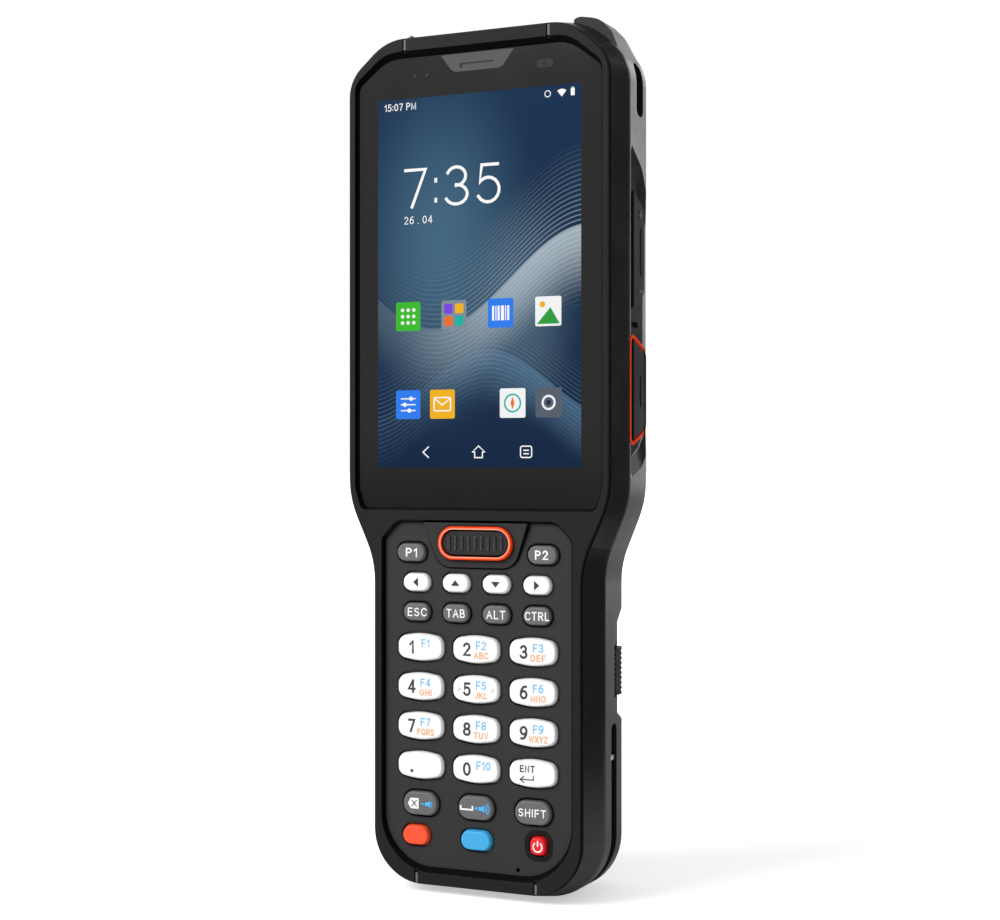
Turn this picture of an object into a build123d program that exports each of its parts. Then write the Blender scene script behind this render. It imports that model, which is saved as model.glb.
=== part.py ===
"""Portable barcode data terminal: rugged handheld with a display, a keypad and a removable battery.

It stands upright on its flat base. X runs across, with +X on the right as seen from the front,
-Y is the front and +Z runs up along its length. The origin is at the centre of the base.
All sizes are in millimetres. Each sub-part is written to parts/NAME.step.
"""

import os
from math import tan, acos

from build123d import *

# ---------------------------------------------------------------- driving dimensions

# Display
screen_width = 52.3
screen_height = 87.2
glass_border = 5.0           # glass beyond the lit area, at the sides
glass_brow = 9.6             # glass above the lit area
glass_drop = 9.5             # glass below the lit area
glass_shoulder = (7.85, 6.0)     # slanted top corner of the glass: run and drop
glass_thickness = 1.1
module_thickness = 3.2
module_border = 1.3          # display module beyond the lit area, at the sides and the top
module_foot = 6.0            # display module below the lit area
glue_ledge = 1.7             # ledge that carries the glass

# Keypad deck (places below the display's lower edge)
deck_half = 24.0
deck_top = 12.9
deck_bottom = 93.9
deck_shoulder = (3.8, 3.9)   # slanted top corner of the deck: run and drop
deck_heel = (7.3, 7.3)       # bottom corner: run and height
deck_heel_radius = 12.0
panel_thickness = 1.2
panel_ledge = 0.9
pod_half = 13.3              # raised pod round the scan key, at its top
pod_foot_half = 9.6
pod_bottom = 23.3
pod_foot_height = 0.35       # pod above the deck at its lower end
pod_groove = (0.35, 0.35)    # groove round the pod: width and depth
microphone = (10.5, 92.6, 0.5)   # column, drop and radius of its hole

# Overall body, round the display and the deck
depth = 30.2                 # front of the scan ring to the back
head_rim = 2.2               # rim outline beyond the glass, at the sides
top_rim = 4.5                # the same above the glass
grip_rim = 2.5               # rim outline beyond the deck, at the sides
chin_rim = 4.0               # the same below the deck
shoulder = (10.0, 8.7)       # top corner: run and drop
shoulder_radii = (12.5, 9.0)
heel = (7.3, 7.3)            # bottom corner: run and height
heel_radius = 12.2
grip_swell = 0.75            # how much more the bevel widens the grip than the head
waist_top = 7.3              # where the head starts to narrow, below the display's edge
waist_height = 14.9          # height over which it narrows

# Depth of each zone, from the front
ring_proud = 0.4             # scan ring in front of the rim
rim_height = 1.2             # rim in front of the glass and the keypad deck
facet_depth = 8.6            # bevelled side, from the rim back to the ridge
facet_spread = 1.75          # how far the bevel widens the body
ridge_width = 0.8            # small bevel along the ridge
band_depth = 10.6            # upright side band behind the ridge
back_inset = 4.6             # how far the back is narrower than the band
back_round = 2.4             # rounding of the back's edge

# Walls and seams
plate_depth = 2.6            # front housing's plate behind the glass level
rim_flange = 0.5             # thickness of the rim's outer edge
gasket_height = 0.5
notch_size = (0.9, 0.35)     # notches across the rim: width and depth
notch_columns = (18.5, 15.3)     # at the top and at the bottom
groove_depth = 0.45          # seam groove that runs round the rim
skirt_inset = 1.5            # front housing's skirt, inside the rim outline
skirt_wall = 1.3
wall = 2.2
cavity_inset = 3.6           # cavity behind the mid frame, inside the rim outline
frame_thickness = 1.0
frame_inset = 1.6
fit = 0.1                    # clearance of fixed pieces in their seats
slide_gap = 0.3              # clearance round a moving piece

# Keys
key_height = 1.0             # key caps above the deck
key_draft = 0.3              # each side of a cap slants in by this much
key_edge = 0.4               # rounding of a cap's top edge
key_moat = 0.4               # gap between a key and the panel
key_travel = 0.5
key_flange = 0.55            # flange thickness
flange_lip = 0.35            # flange beyond the cap
flange_gap = 0.15            # flange behind the panel
key_foot_radius = 1.2
mat_thickness = 0.6
dome_radius = 2.0
dome_height = 0.3

small_key = (7.1, 4.35, 2.1)     # width, height, corner radius
program_key = (7.6, 4.4, 2.15)
oval_key = (9.2, 5.7, 2.75)
orange_key = (7.0, 4.7, 2.3)
blue_key = (7.9, 4.75, 2.3)
power_key = (4.1, 4.3, 1.5)
digit_half = 5.95            # digit keys: half width, half height, arch of their long edges
digit_rise = 3.4
digit_arch = 0.95
digit_corner = 2.2
digit_margin = 9.55          # outer key centres to the deck's edge, for each kind of row
small_margin = 8.5
program_margin = 7.1
colour_margin = 8.3
digit_row = 42.25            # first row of digits, below the display's lower edge
digit_pitch = 9.27
program_row, arrow_row, control_row, oval_row, colour_row = 20.0, 27.0, 34.0, 79.05, 86.6

# Front scan key
scan_drop = 17.6             # its centre below the display's lower edge
scan_ring_size = (19.0, 7.8)
scan_ring_width = 0.75
scan_cap_sink = 0.55         # cap's face behind the ring's front
scan_rib_count = 9
scan_rib_pitch = 1.68
scan_rib_size = (0.45, 3.3, 0.25)

# Earpiece and sensors above the display (drops below the glass's top)
earpiece_halves = (9.5, 6.3)     # half widths at the top and at the bottom
earpiece_height = 4.2
earpiece_margin = 0.2
earpiece_slot = (8.9, 1.2, 0.3)      # width, height, depth
earpiece_corner = 2.3
earpiece_slot_drop = 3.05
receiver_size = (12.0, 2.3, 3.6)
sensor_drop = 4.4
camera_column = 17.2
lens_radius = 2.3
lens_depth = 2.7
light_sensor_column = 14.6
light_sensor_size = (6.8, 1.3, 3.1)
strip_thickness = 0.3
strip_height = 2.2

# Side pads and side keys, on the upright band of the head (places above the display's edge)
pad_thickness = 2.3          # depth of the pad's seat in the side
pad_sink = 0.9               # pad's face below the band
pad_ramp = 4.0               # ramp from the band down to the pad at both ends
pad_notch = (1.6, 5.0, 1.3, 0.6)     # gap from the pad's front, width, height, depth
pad_front_gap = 0.6          # pad behind the ridge line
pad_width = 9.9
pad_ends = (4.4, 6.3)        # pad below the trigger and above the volume key
pad_slant_top = 12.0
pad_slant_bottom = 6.5
side_key_front_gap = 1.2     # side keys behind the ridge line
side_key_width = 8.2
side_key_thickness = 1.5
side_key_proud = 0.1
volume_span = (36.1, 63.9)
volume_slant = 4.2
trigger_span = (5.9, 29.7)
trigger_slant = 3.0
trigger_ring_width = 1.1
trigger_travel = 0.7
stem_width = 3.0
stem_height = 5.0
side_groove_width = 1.3
side_groove_depth = 0.35

# Corner guards on the top rear
guard_width = 12.05          # guard's inner end to the rim's side
guard_height = 3.3           # crest above the rim outline
guard_crest = 7.85           # where the crest turns down, to the rim's side
guard_shoulder = (4.45, 0.2)     # next corner: inside the rim's side, below its top
guard_foot = (1.15, 6.2)     # last corner: inside the rim's side, below its top
guard_reach = 13.1           # from the ridge back to where the guard starts to fall
guard_fall = 2.4             # how much narrower it ends
guard_slope = 1.4            # its front leans back by this much for each millimetre out
guard_slope_start = (11.2, 1.4)  # where the slope meets the shoulder: inside the side, above the top

# Scan window in the top
scan_window_size = (25.0, 8.0)
scan_window_thickness = 1.2
scan_window_sink = 1.7       # pane's face below the band's top
scan_window_back = 13.0      # window centre behind the glass level
window_ledge = 1.2
engine_size = (23.0, 11.0, 12.0)
engine_set_back = 1.0        # engine's middle behind the window's
imager = (-4.5, 2.4)         # column and radius of the imager's barrel and of the aiming light's
aimer = (5.5, 1.5)
barrel_depth = 2.0

# Strap slots
strap_slot_width = 4.2
strap_slot_depth = 2.9
top_slot_front = 11.7        # behind the glass level
top_slot_drop = 7.7          # slot's upper end below the rim's top
top_slot_length = 12.6
lower_slot_width = 3.3
lower_slot_depth = 2.0
lower_slot_front = 11.4
lower_slot_top = 59.4        # below the display's lower edge
lower_slot_end_half = 15.0
strap_bar_drop = 67.3
strap_bar_height = 1.2

# Battery and its latches
battery_top_drop = 12.0
battery_front = 19.0         # behind the glass level
bay_floor = 2.0
battery_gap = 0.3
finger_recess_depth = 1.1
finger_recess_front = 13.3
finger_recess_span = (31.5, 59.5)
latch_drop = 47.7
latch_length = 11.4
latch_width = 7.4
latch_front = 15.2
latch_thickness = 3.1
latch_ribs_width = 4.6       # raised, ribbed part; the rest lies level with the recess
latch_proud = 0.6            # latch beyond the recess floor
latch_travel = 1.2
latch_stem = (2.9, 2.6, 6.0)
latch_rib_count = 9
latch_rib_pitch = 1.15
latch_groove = (0.5, 0.35)

# Screws
screw_radius = 1.0
screw_head_radius = 1.9
screw_head_height = 1.3
post_radius = 2.5
head_screw_inset = 8.85      # head screws inside the rim's side
head_screw_heights = (84.0, -3.0)
grip_screw_inset = 11.5
grip_screw_drop = 88.0
head_screw_seat = 17.0       # screw seat behind the glass level
post_joint = 9.0             # where the two housings' posts meet
screw_bite = 2.7

# Electronics
board_half = 21.0
board_span = (-28.0, 84.0)
board_front = 8.3
board_thickness = 1.2
board_post_radius = 1.8
board_post_inset = 3.0
board_post_ends = (6.0, 12.0)    # posts from the board's lower and upper ends
rear_can = (17.0, 2.2, 24.0)     # shield cans: half width, depth, height
front_can = (15.0, 2.0, 30.0)
can_base = 14.0              # cans above the display's lower edge
rail_inset = 2.35            # switch rails inside the cavity's side
rail_thickness = 0.8
rail_margin = 4.0            # rail beyond the switches
rail_back = 17.0
switch_depth = 1.4
switch_size = (3.6, 5.0)
camera_place = (13.0, 76.0)
camera_radius = 4.5
camera_lens_radius = 2.9
camera_lens_depth = 0.5
camera_face_sink = 0.4
camera_board_depth = 3.0
camera_flange = 1.1
flash_drop = 11.0
flash_radius = 2.2
speaker_place = (-13.0, 76.0)
speaker_size = (17.0, 4.0, 11.0)
speaker_slot_count = 5
speaker_slot_pitch = 2.0
speaker_slot_size = (11.0, 0.9)
contact_block = (18.0, 6.0)
contact_drop = 21.0
contact_pitch = 3.2
contact_radius = 0.7
contact_count = 5
contact_gap = 0.05
dock_size = (16.0, 4.0, 2.0)
dock_back = 12.5
dock_sink = 0.25
dock_pad = (1.8, 2.6)

# ---------------------------------------------------------------- derived levels

glass_half = screen_width / 2 + glass_border
glass_top = screen_height + glass_brow
head_half = glass_half + head_rim
grip_half = deck_half + grip_rim
rim_top = glass_top + top_rim
display_base = deck_bottom + chin_rim + facet_spread
front_y = -depth / 2
rim_y = front_y + ring_proud
glass_y = rim_y + rim_height
seam_y = rim_y + rim_flange + gasket_height
ridge_y = rim_y + facet_depth
band_end_y = ridge_y + band_depth
back_y = depth / 2
plate_back_y = glass_y + plate_depth
frame_y = glass_y + glass_thickness + module_thickness
frame_back_y = frame_y + frame_thickness
panel_back_y = glass_y + panel_thickness
mat_y = plate_back_y
dome_y = mat_y + mat_thickness
keypad_board_y = dome_y + dome_height
battery_y = glass_y + battery_front
bay_floor_y = battery_y - bay_floor
cavity_back_y = back_y - wall
battery_z = display_base - battery_top_drop
band_half = head_half + facet_spread
grip_band_half = grip_half + facet_spread + grip_swell
pad_floor_x = band_half - pad_thickness
pad_bottom = trigger_span[0] - pad_ends[0]
pad_top = volume_span[1] + pad_ends[1]
rail_half = head_half - cavity_inset - rail_inset


def level(offset):
    """Height of a place given from the display's lower edge."""
    return display_base + offset


def behind(offset):
    """Depth of a place given from the glass level."""
    return glass_y + offset


# ---------------------------------------------------------------- outlines

def mirrored(right_half):
    """Whole outline from its right half, given from top to bottom as (x, z, radius)."""
    return right_half + [(-x, z, radius) for x, z, radius in reversed(right_half)]


def outline(corners, grow=0.0):
    """Face with rounded corners. grow moves every side outward; corners run clockwise."""
    points = [Vector(x, z) for x, z, radius in corners]
    count = len(points)
    ways = [(points[(i + 1) % count] - points[i]).normalized() for i in range(count)]
    starts, mids, ends = [], [], []
    for i, point in enumerate(points):
        way_in, way_out = ways[i - 1], ways[i]
        out_in, out_out = Vector(-way_in.Y, way_in.X), Vector(-way_out.Y, way_out.X)
        point = point + (out_in + out_out) * (grow / (1 + out_in.dot(out_out)))
        convex = way_in.cross(way_out).Z < 0
        radius = max(corners[i][2] + (grow if convex else -grow), 0.05)
        reach = radius * tan(acos(min(1.0, way_in.dot(way_out))) / 2)
        start = point - way_in * reach
        centre = start + out_in * (-radius if convex else radius)
        starts.append(start)
        mids.append(centre + (point - centre).normalized() * radius)
        ends.append(point + way_out * reach)
    edges = []
    for i in range(count):
        edges.append(Edge.make_three_point_arc(starts[i], mids[i], ends[i]))
        if (starts[(i + 1) % count] - ends[i]).length > 1e-4:
            edges.append(Edge.make_line(ends[i], starts[(i + 1) % count]))
    return Face(Wire(edges))


def front_plane(y):
    """Upright plane seen from the front, at depth y."""
    return Plane(origin=(0, y, 0), x_dir=(1, 0, 0), z_dir=(0, -1, 0))


def side_plane(x):
    """Upright plane seen from the right, at x."""
    return Plane(origin=(x, 0, 0), x_dir=(0, 1, 0), z_dir=(1, 0, 0))


def slab(corners, y_front, y_back, grow=0.0):
    """Solid with an upright outline, from one depth to another."""
    face = front_plane(y_back) * outline(corners, grow)
    return extrude(face, y_back - y_front, dir=(0, -1, 0))


def side_slab(corners, x_low, x_high, grow=0.0):
    """Solid with an outline in (y, z), from one x to another."""
    return extrude(side_plane(x_low) * outline(corners, grow), x_high - x_low, dir=(1, 0, 0))


def flare(corners_front, y_front, grow_front, corners_back, y_back, grow_back):
    """Solid that runs straight from one upright outline to another."""
    first = front_plane(y_front) * outline(corners_front, grow_front)
    last = front_plane(y_back) * outline(corners_back, grow_back)
    return loft([first, last], ruled=True)


def block(x_span, y_span, z_span):
    """Box between two values along each axis."""
    size = [span[1] - span[0] for span in (x_span, y_span, z_span)]
    centre = [(span[1] + span[0]) / 2 for span in (x_span, y_span, z_span)]
    return Pos(*centre) * Box(*size)


def rod(x, z, radius, y_front, y_back):
    """Cylinder along Y."""
    face = front_plane(y_back) * (Pos(x, z) * Circle(radius))
    return extrude(face, y_back - y_front, dir=(0, -1, 0))


def rounded_box_corners(width, height, radius, x=0.0, z=0.0):
    """Corners of an upright rounded rectangle."""
    right, top = width / 2, height / 2
    return [(x - right, z + top, radius), (x + right, z + top, radius),
            (x + right, z - top, radius), (x - right, z - top, radius)]


def mirror_x(solid):
    """The same solid on the left side."""
    return mirror(solid, about=Plane.YZ)


def rim_corners(swell=0.0):
    """Outline of the rim: round shoulders, a narrow grip and round heels; swell widens the grip."""
    grip = grip_half + swell
    top, bottom = level(rim_top), facet_spread
    waist = level(-waist_top)
    return mirrored([
        (head_half - shoulder[0], top, shoulder_radii[0]),
        (head_half, top - shoulder[1], shoulder_radii[1]),
        (head_half, waist, 22.0),
        (grip, waist - waist_height, 22.0),
        (grip, bottom + heel[1], heel_radius),
        (grip - heel[0], bottom, heel_radius)])


def glass_corners(extra_top=0.0):
    """Outline of the display window; extra_top raises its upper edge."""
    top = level(glass_top)
    return mirrored([
        (glass_half - glass_shoulder[0], top + extra_top, 9.0),
        (glass_half, top - glass_shoulder[1] + extra_top / 2, 3.0),
        (glass_half, level(-glass_drop) + 4.9, 6.0),
        (glass_half - 1.5, level(-glass_drop), 1.5)])


def deck_corners(extra_bottom=0.0):
    """Outline of the recessed keypad deck; extra_bottom lowers its lower edge."""
    top, bottom = level(-deck_top), level(-deck_bottom)
    return mirrored([
        (deck_half - deck_shoulder[0], top, 3.4),
        (deck_half, top - deck_shoulder[1], 2.4),
        (deck_half, bottom + deck_heel[1] - extra_bottom / 2, deck_heel_radius),
        (deck_half - deck_heel[0], bottom - extra_bottom, deck_heel_radius)])


# ---------------------------------------------------------------- housings

def body_stations():
    """Depth of each cross-section, its growth over the rim outline and the grip's swell."""
    seam_share = (seam_y - rim_y) / facet_depth
    ridge_share = 1 - ridge_width / 2 / facet_depth
    return [(seam_y, facet_spread * seam_share, grip_swell * seam_share),
            (ridge_y - ridge_width / 2, facet_spread * ridge_share, grip_swell * ridge_share),
            (ridge_y + ridge_width / 2, facet_spread, grip_swell),
            (band_end_y, facet_spread, grip_swell),
            (back_y, facet_spread - back_inset, grip_swell)]


def body_envelope():
    """Full outer form of the terminal behind the seam, before it is hollowed."""
    stations = body_stations()
    solid = None
    for (y_front, grow_front, swell_front), (y_back, grow_back, swell_back) in zip(stations, stations[1:]):
        piece = flare(rim_corners(swell_front), y_front, grow_front,
                      rim_corners(swell_back), y_back, grow_back)
        solid = piece if solid is None else solid + piece
    back_edges = solid.edges().filter_by_position(Axis.Y, back_y - 0.01, back_y + 0.01)
    return fillet(back_edges, back_round)


def corner_guard():
    """Raised guard on the right top corner: a rounded crest with a slanted front."""
    rim = level(rim_top)
    inner = head_half - guard_width
    foot_x, foot = head_half - guard_foot[0], rim - guard_foot[1]
    low = foot - shoulder[1]
    ring = [(inner, rim + guard_height, 1.2), (head_half - guard_crest, rim + guard_height, 4.0),
            (head_half - guard_shoulder[0], rim - guard_shoulder[1], 5.0),
            (foot_x, foot, 3.0), (foot_x, low, 0.3), (inner, low, 0.3)]
    fall_y = ridge_y + guard_reach
    crest = slab(ring, ridge_y, fall_y)
    fall = flare(ring, fall_y, 0, ring, back_y - back_round, -guard_fall)
    # The front slope follows the shoulder and leans back as it rises from it.
    along = Vector(shoulder[0], 0, -shoulder[1]).normalized()
    outward = Vector(shoulder[1], 0, shoulder[0]).normalized()
    start = Vector(head_half - guard_slope_start[0], ridge_y, rim + guard_slope_start[1])
    reach = guard_width
    front = Plane(origin=start - along * reach, x_dir=outward, z_dir=along)
    wedge = Polyline((-reach, 0), (0, 0), (reach, -reach * guard_slope), (reach, reach),
                     (-reach, reach), close=True)
    return crest + fall - extrude(front * make_face(wedge), reach * 4, dir=along)


def battery_zone(gap):
    """Space of the battery behind the bay floor, made smaller by a gap."""
    side = grip_band_half + facet_spread
    return block((-side, side), (battery_y + gap, back_y + 1), (-1, battery_z - gap))


def recess_floor():
    """The grip's body sunk by the depth of the finger recess."""
    rim = rim_corners(grip_swell)
    band = facet_spread - finger_recess_depth
    taper = back_inset / (back_y - band_end_y)
    end_y = back_y + 1
    return (flare(rim, ridge_y, band, rim, band_end_y, band)
            + flare(rim, band_end_y, band, rim, end_y, band - taper * (end_y - band_end_y)))


def finger_recess_cut():
    """Scooped recess round the right battery latch, open to the back."""
    top, bottom = [level(-drop) for drop in finger_recess_span]
    front = behind(finger_recess_front)
    floor_x = grip_band_half - finger_recess_depth - back_inset
    slope = front + 6.0
    corners = [(front, top - 6.5, 5.0), (slope, top, 2.0), (back_y + 1, top, 0.3),
               (back_y + 1, bottom, 0.3), (slope, bottom, 2.0), (front, bottom + 3.5, 4.0)]
    return side_slab(corners, floor_x, grip_band_half + 1) - recess_floor()


def latch_window_cut():
    """Opening for the latch in the housing's side wall, open to the battery."""
    half = latch_length / 2 + slide_gap
    inner = grip_band_half - finger_recess_depth + latch_proud - latch_thickness
    inner -= latch_travel + slide_gap
    z = level(-latch_drop)
    return block((inner, grip_band_half + 1), (behind(latch_front) - slide_gap, battery_y + 0.5),
                 (z - half, z + half))


def strap_slot_cuts():
    """Right upper strap slot, and the long lower slot that runs round the heel."""
    rim = rim_corners(grip_swell)
    slot_y = behind(top_slot_front)
    radius = strap_slot_width / 2 - 0.1
    head = level(rim_top) - top_slot_drop
    foot = head - top_slot_length
    corners = [(slot_y, head, radius), (slot_y + strap_slot_width, head, radius),
               (slot_y + strap_slot_width, foot, radius), (slot_y, foot, radius)]
    zone = side_slab(corners, head_half - 4.0, band_half + 3)
    ring = (slab(rim, slot_y, slot_y + strap_slot_width, facet_spread + 2)
            - slab(rim, slot_y, slot_y + strap_slot_width, facet_spread - strap_slot_depth))
    upper = zone & ring
    top, low_y = level(-lower_slot_top), behind(lower_slot_front)
    low_back_y = low_y + lower_slot_width
    ring = (slab(rim, low_y, low_back_y, facet_spread + 1)
            - slab(rim, low_y, low_back_y, facet_spread - lower_slot_depth))
    low_radius = lower_slot_width / 2 - 0.1
    side = side_slab([(low_y, top, low_radius), (low_back_y, top, low_radius),
                      (low_back_y, -2, 0.3), (low_y, -2, 0.3)], lower_slot_end_half, band_half)
    bar_z, bar_half = level(-strap_bar_drop), strap_bar_height / 2
    bar = block((grip_half - 1, grip_band_half - 0.3), (low_y - 1, low_back_y + 1),
                (bar_z - bar_half, bar_z + bar_half))
    return upper + ((ring & side) - bar)


def pad_corners():
    """Outline (y, z) of the side pad: long at the front, with slanted ends."""
    front = ridge_y + pad_front_gap
    back = front + pad_width
    top, bottom = level(pad_top), level(pad_bottom)
    return [(front, top, 0.6), (front + pad_width * 0.72, top - pad_slant_top * 0.4, 6.0),
            (back, top - pad_slant_top, 4.0), (back, bottom + pad_slant_bottom, 3.0),
            (back - 3.0, bottom + pad_slant_bottom * 0.5, 3.0), (front, bottom, 0.6)]


def pad_dip():
    """Shallow dip of the band over the right pad: open to the back, ramped at both ends."""
    def corners(ramp):
        front, back = ridge_y + pad_front_gap, band_end_y + pad_sink * 4
        top, bottom = level(pad_top) + ramp, level(pad_bottom) - ramp
        middle = front + pad_width * 0.72
        return [(front, top, 0.6), (middle, top - pad_slant_top * 0.4, 6.0),
                (back, top - pad_slant_top * 1.4, 0.3), (back, bottom + pad_slant_bottom * 1.4, 0.3),
                (middle, bottom + pad_slant_bottom * 0.4, 6.0), (front, bottom, 0.6)]
    floor_x = band_half - pad_sink
    floor = side_plane(floor_x) * outline(corners(0))
    mouth = side_plane(band_half + pad_sink) * outline(corners(pad_ramp * 2))
    return loft([floor, mouth], ruled=True)


def side_key_corners(span, slant):
    """Outline (y, z) of a side key: a trapezoid, longer at the front."""
    front = ridge_y + side_key_front_gap
    back = front + side_key_width
    bottom, top = level(span[0]), level(span[1])
    return [(front, top, 0.8), (back, top - slant, 2.4),
            (back, bottom + slant, 2.4), (front, bottom, 0.8)]


def volume_corners():
    return side_key_corners(volume_span, volume_slant)


def trigger_corners():
    return side_key_corners(trigger_span, trigger_slant)


def side_key_middle(span):
    """Centre (y, z) of a side key."""
    y = ridge_y + side_key_front_gap + side_key_width / 2
    return y, level((span[0] + span[1]) / 2)


def stem_cut(span):
    """Hole through the right wall for a side key's stem."""
    y, z = side_key_middle(span)
    half_w = stem_width / 2 + slide_gap
    half_h = stem_height / 2 + slide_gap
    return block((head_half - cavity_inset - 1, pad_floor_x + 0.1),
                 (y - half_w, y + half_w), (z - half_h, z + half_h))


def screw_places():
    """(x, z, seat depth) of every housing screw."""
    places = []
    for side in (-1, 1):
        for height in head_screw_heights:
            x = side * (head_half - head_screw_inset)
            places.append((x, level(height), behind(head_screw_seat)))
        seat = battery_y - screw_head_height
        x = side * (grip_half - grip_screw_inset)
        places.append((x, level(-grip_screw_drop), seat))
    return places


def make_seam_gasket():
    """Silicone ring between the housings: the dark groove round the rim."""
    rim = rim_corners()
    front, back = rim_y + rim_flange, seam_y
    return (slab(rim, front, back, -groove_depth)
            - slab(rim, front, back, -(skirt_inset - fit) + 0.05))


def make_front_housing():
    """Raised rim with the seats of window and keypad, and a skirt inside the rear housing."""
    rim = rim_corners()
    front = slab(rim, rim_y, rim_y + rim_flange)
    edge = front.edges().filter_by_position(Axis.Y, rim_y - 0.01, rim_y + 0.01)
    front = chamfer(edge, 0.2)
    plate = slab(rim, rim_y + rim_flange, plate_back_y, -skirt_inset)
    skirt = (slab(rim, plate_back_y, frame_y, -skirt_inset)
             - slab(rim, plate_back_y, frame_y, -skirt_inset - skirt_wall))
    solid = front + plate + skirt

    window = glass_corners()
    glass_back_y = glass_y + glass_thickness
    solid -= flare(glass_corners(extra_top=0.8), rim_y, 0.65, window, glass_y, fit)
    solid -= slab(window, glass_y, glass_back_y, fit)
    solid -= slab(window, glass_back_y, plate_back_y, -glue_ledge)

    deck = deck_corners()
    solid -= flare(deck_corners(extra_bottom=0.6), rim_y, 0.6, deck, glass_y, fit)
    solid -= slab(deck, glass_y, panel_back_y, fit)
    solid -= slab(deck, panel_back_y, plate_back_y, -panel_ledge)

    notch_width, notch_depth = notch_size
    for x, z_span in ((notch_columns[0], (level(glass_top), level(rim_top) + 1)),
                      (notch_columns[1], (0, level(-deck_bottom) + 1))):
        for side in (-1, 1):
            x_span = (side * x - notch_width / 2, side * x + notch_width / 2)
            solid -= block(x_span, (rim_y - 1, rim_y + notch_depth), z_span)
    return solid


def make_rear_housing():
    """Sides, back of the head, battery bay, strap slots and the two corner guards."""
    rim = rim_corners()
    envelope = body_envelope()
    guard = corner_guard()
    envelope = envelope + guard + mirror_x(guard)

    cavity = slab(rim, seam_y - 0.1, frame_back_y, -(skirt_inset - fit))
    cavity += slab(rim, frame_back_y, bay_floor_y, -cavity_inset)
    head_floor = battery_z + wall
    head_zone = block((-band_half, band_half), (bay_floor_y - 0.5, cavity_back_y),
                      (head_floor, level(rim_top)))
    back_grow = facet_spread - back_inset - wall
    rear = (slab(rim, bay_floor_y - 0.5, band_end_y, -cavity_inset)
            + flare(rim, band_end_y, -cavity_inset, rim, cavity_back_y,
                    min(back_grow, -cavity_inset - 0.5)))
    cavity += rear & head_zone
    solid = envelope - cavity - battery_zone(0)

    # Posts that carry the housing screws.
    for x, z, seat in screw_places():
        foot = behind(post_joint)
        ceiling = cavity_back_y + 0.5 if z > battery_z else bay_floor_y + 0.5
        solid += rod(x, z, post_radius, foot, ceiling)
        solid -= rod(x, z, screw_radius + fit, foot - 1, back_y + 1)
        solid -= rod(x, z, screw_head_radius + fit, seat, back_y + 1)

    # Right side openings, repeated on the left apart from the volume key's.
    right = side_slab(pad_corners(), pad_floor_x, band_half + 1) + pad_dip()
    right += side_slab(trigger_corners(), pad_floor_x, band_half + 1, trigger_ring_width + fit)
    right += stem_cut(trigger_span) + strap_slot_cuts() + finger_recess_cut() + latch_window_cut()
    solid = solid - right - mirror_x(right) - stem_cut(volume_span)

    solid -= scan_window_cut()
    solid += engine_bracket()
    solid -= camera_cut() + speaker_slots() + dock_pocket() + contact_slot()
    return solid


# ---------------------------------------------------------------- display group

def earpiece_corners(grow_sides=0.0):
    """Trapezoid of the earpiece insert, open to the top edge of the glass."""
    top = level(glass_top - earpiece_margin)
    bottom = top - earpiece_height
    return mirrored([(earpiece_halves[0] + grow_sides, top, 0.2),
                     (earpiece_halves[1] + grow_sides, bottom - grow_sides, earpiece_corner)])


def make_display_window():
    """Cover glass with a notch for the earpiece insert."""
    window = slab(glass_corners(), glass_y, glass_y + glass_thickness)
    notch = slab(earpiece_corners(0.06), glass_y - 1, glass_y + glass_thickness + 1)
    return window - notch


def make_display_module():
    """Display and backlight, bonded behind the glass."""
    half = screen_width / 2 + module_border
    return block((-half, half), (glass_y + glass_thickness, frame_y),
                 (level(-module_foot), level(screen_height + module_border)))


def make_earpiece_insert():
    """Grey insert with the earpiece slot."""
    insert = slab(earpiece_corners(), glass_y, glass_y + glass_thickness)
    width, height, depth = earpiece_slot
    slot = rounded_box_corners(width, height, height * 0.46, 0, level(glass_top - earpiece_slot_drop))
    return insert - slab(slot, glass_y - 1, glass_y + depth)


def make_receiver():
    """Small speaker behind the earpiece insert."""
    width, thickness, height = receiver_size
    glass_back_y = glass_y + glass_thickness
    z = level(glass_top - sensor_drop) + fit
    return block((-width / 2, width / 2), (glass_back_y, glass_back_y + thickness),
                 (z - height / 2, z + height / 2))


def make_front_sensors():
    """Front camera and light sensor behind the glass, on one strip."""
    front = glass_y + glass_thickness
    back = front + lens_depth
    z = level(glass_top - sensor_drop)
    camera = rod(camera_column, z, lens_radius, front, back)
    width, thickness, height = light_sensor_size
    left, right = -light_sensor_column - width / 2, -light_sensor_column + width / 2
    sensor = block((left, right), (front, front + thickness), (z - height / 2, z + height / 2))
    strip_span = (z - strip_height / 2, z + strip_height / 2)
    link = block((left, right), (front, back), strip_span)
    strip = block((left, camera_column), (back - strip_thickness, back), strip_span)
    return camera + sensor + link + strip


# ---------------------------------------------------------------- keypad

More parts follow.
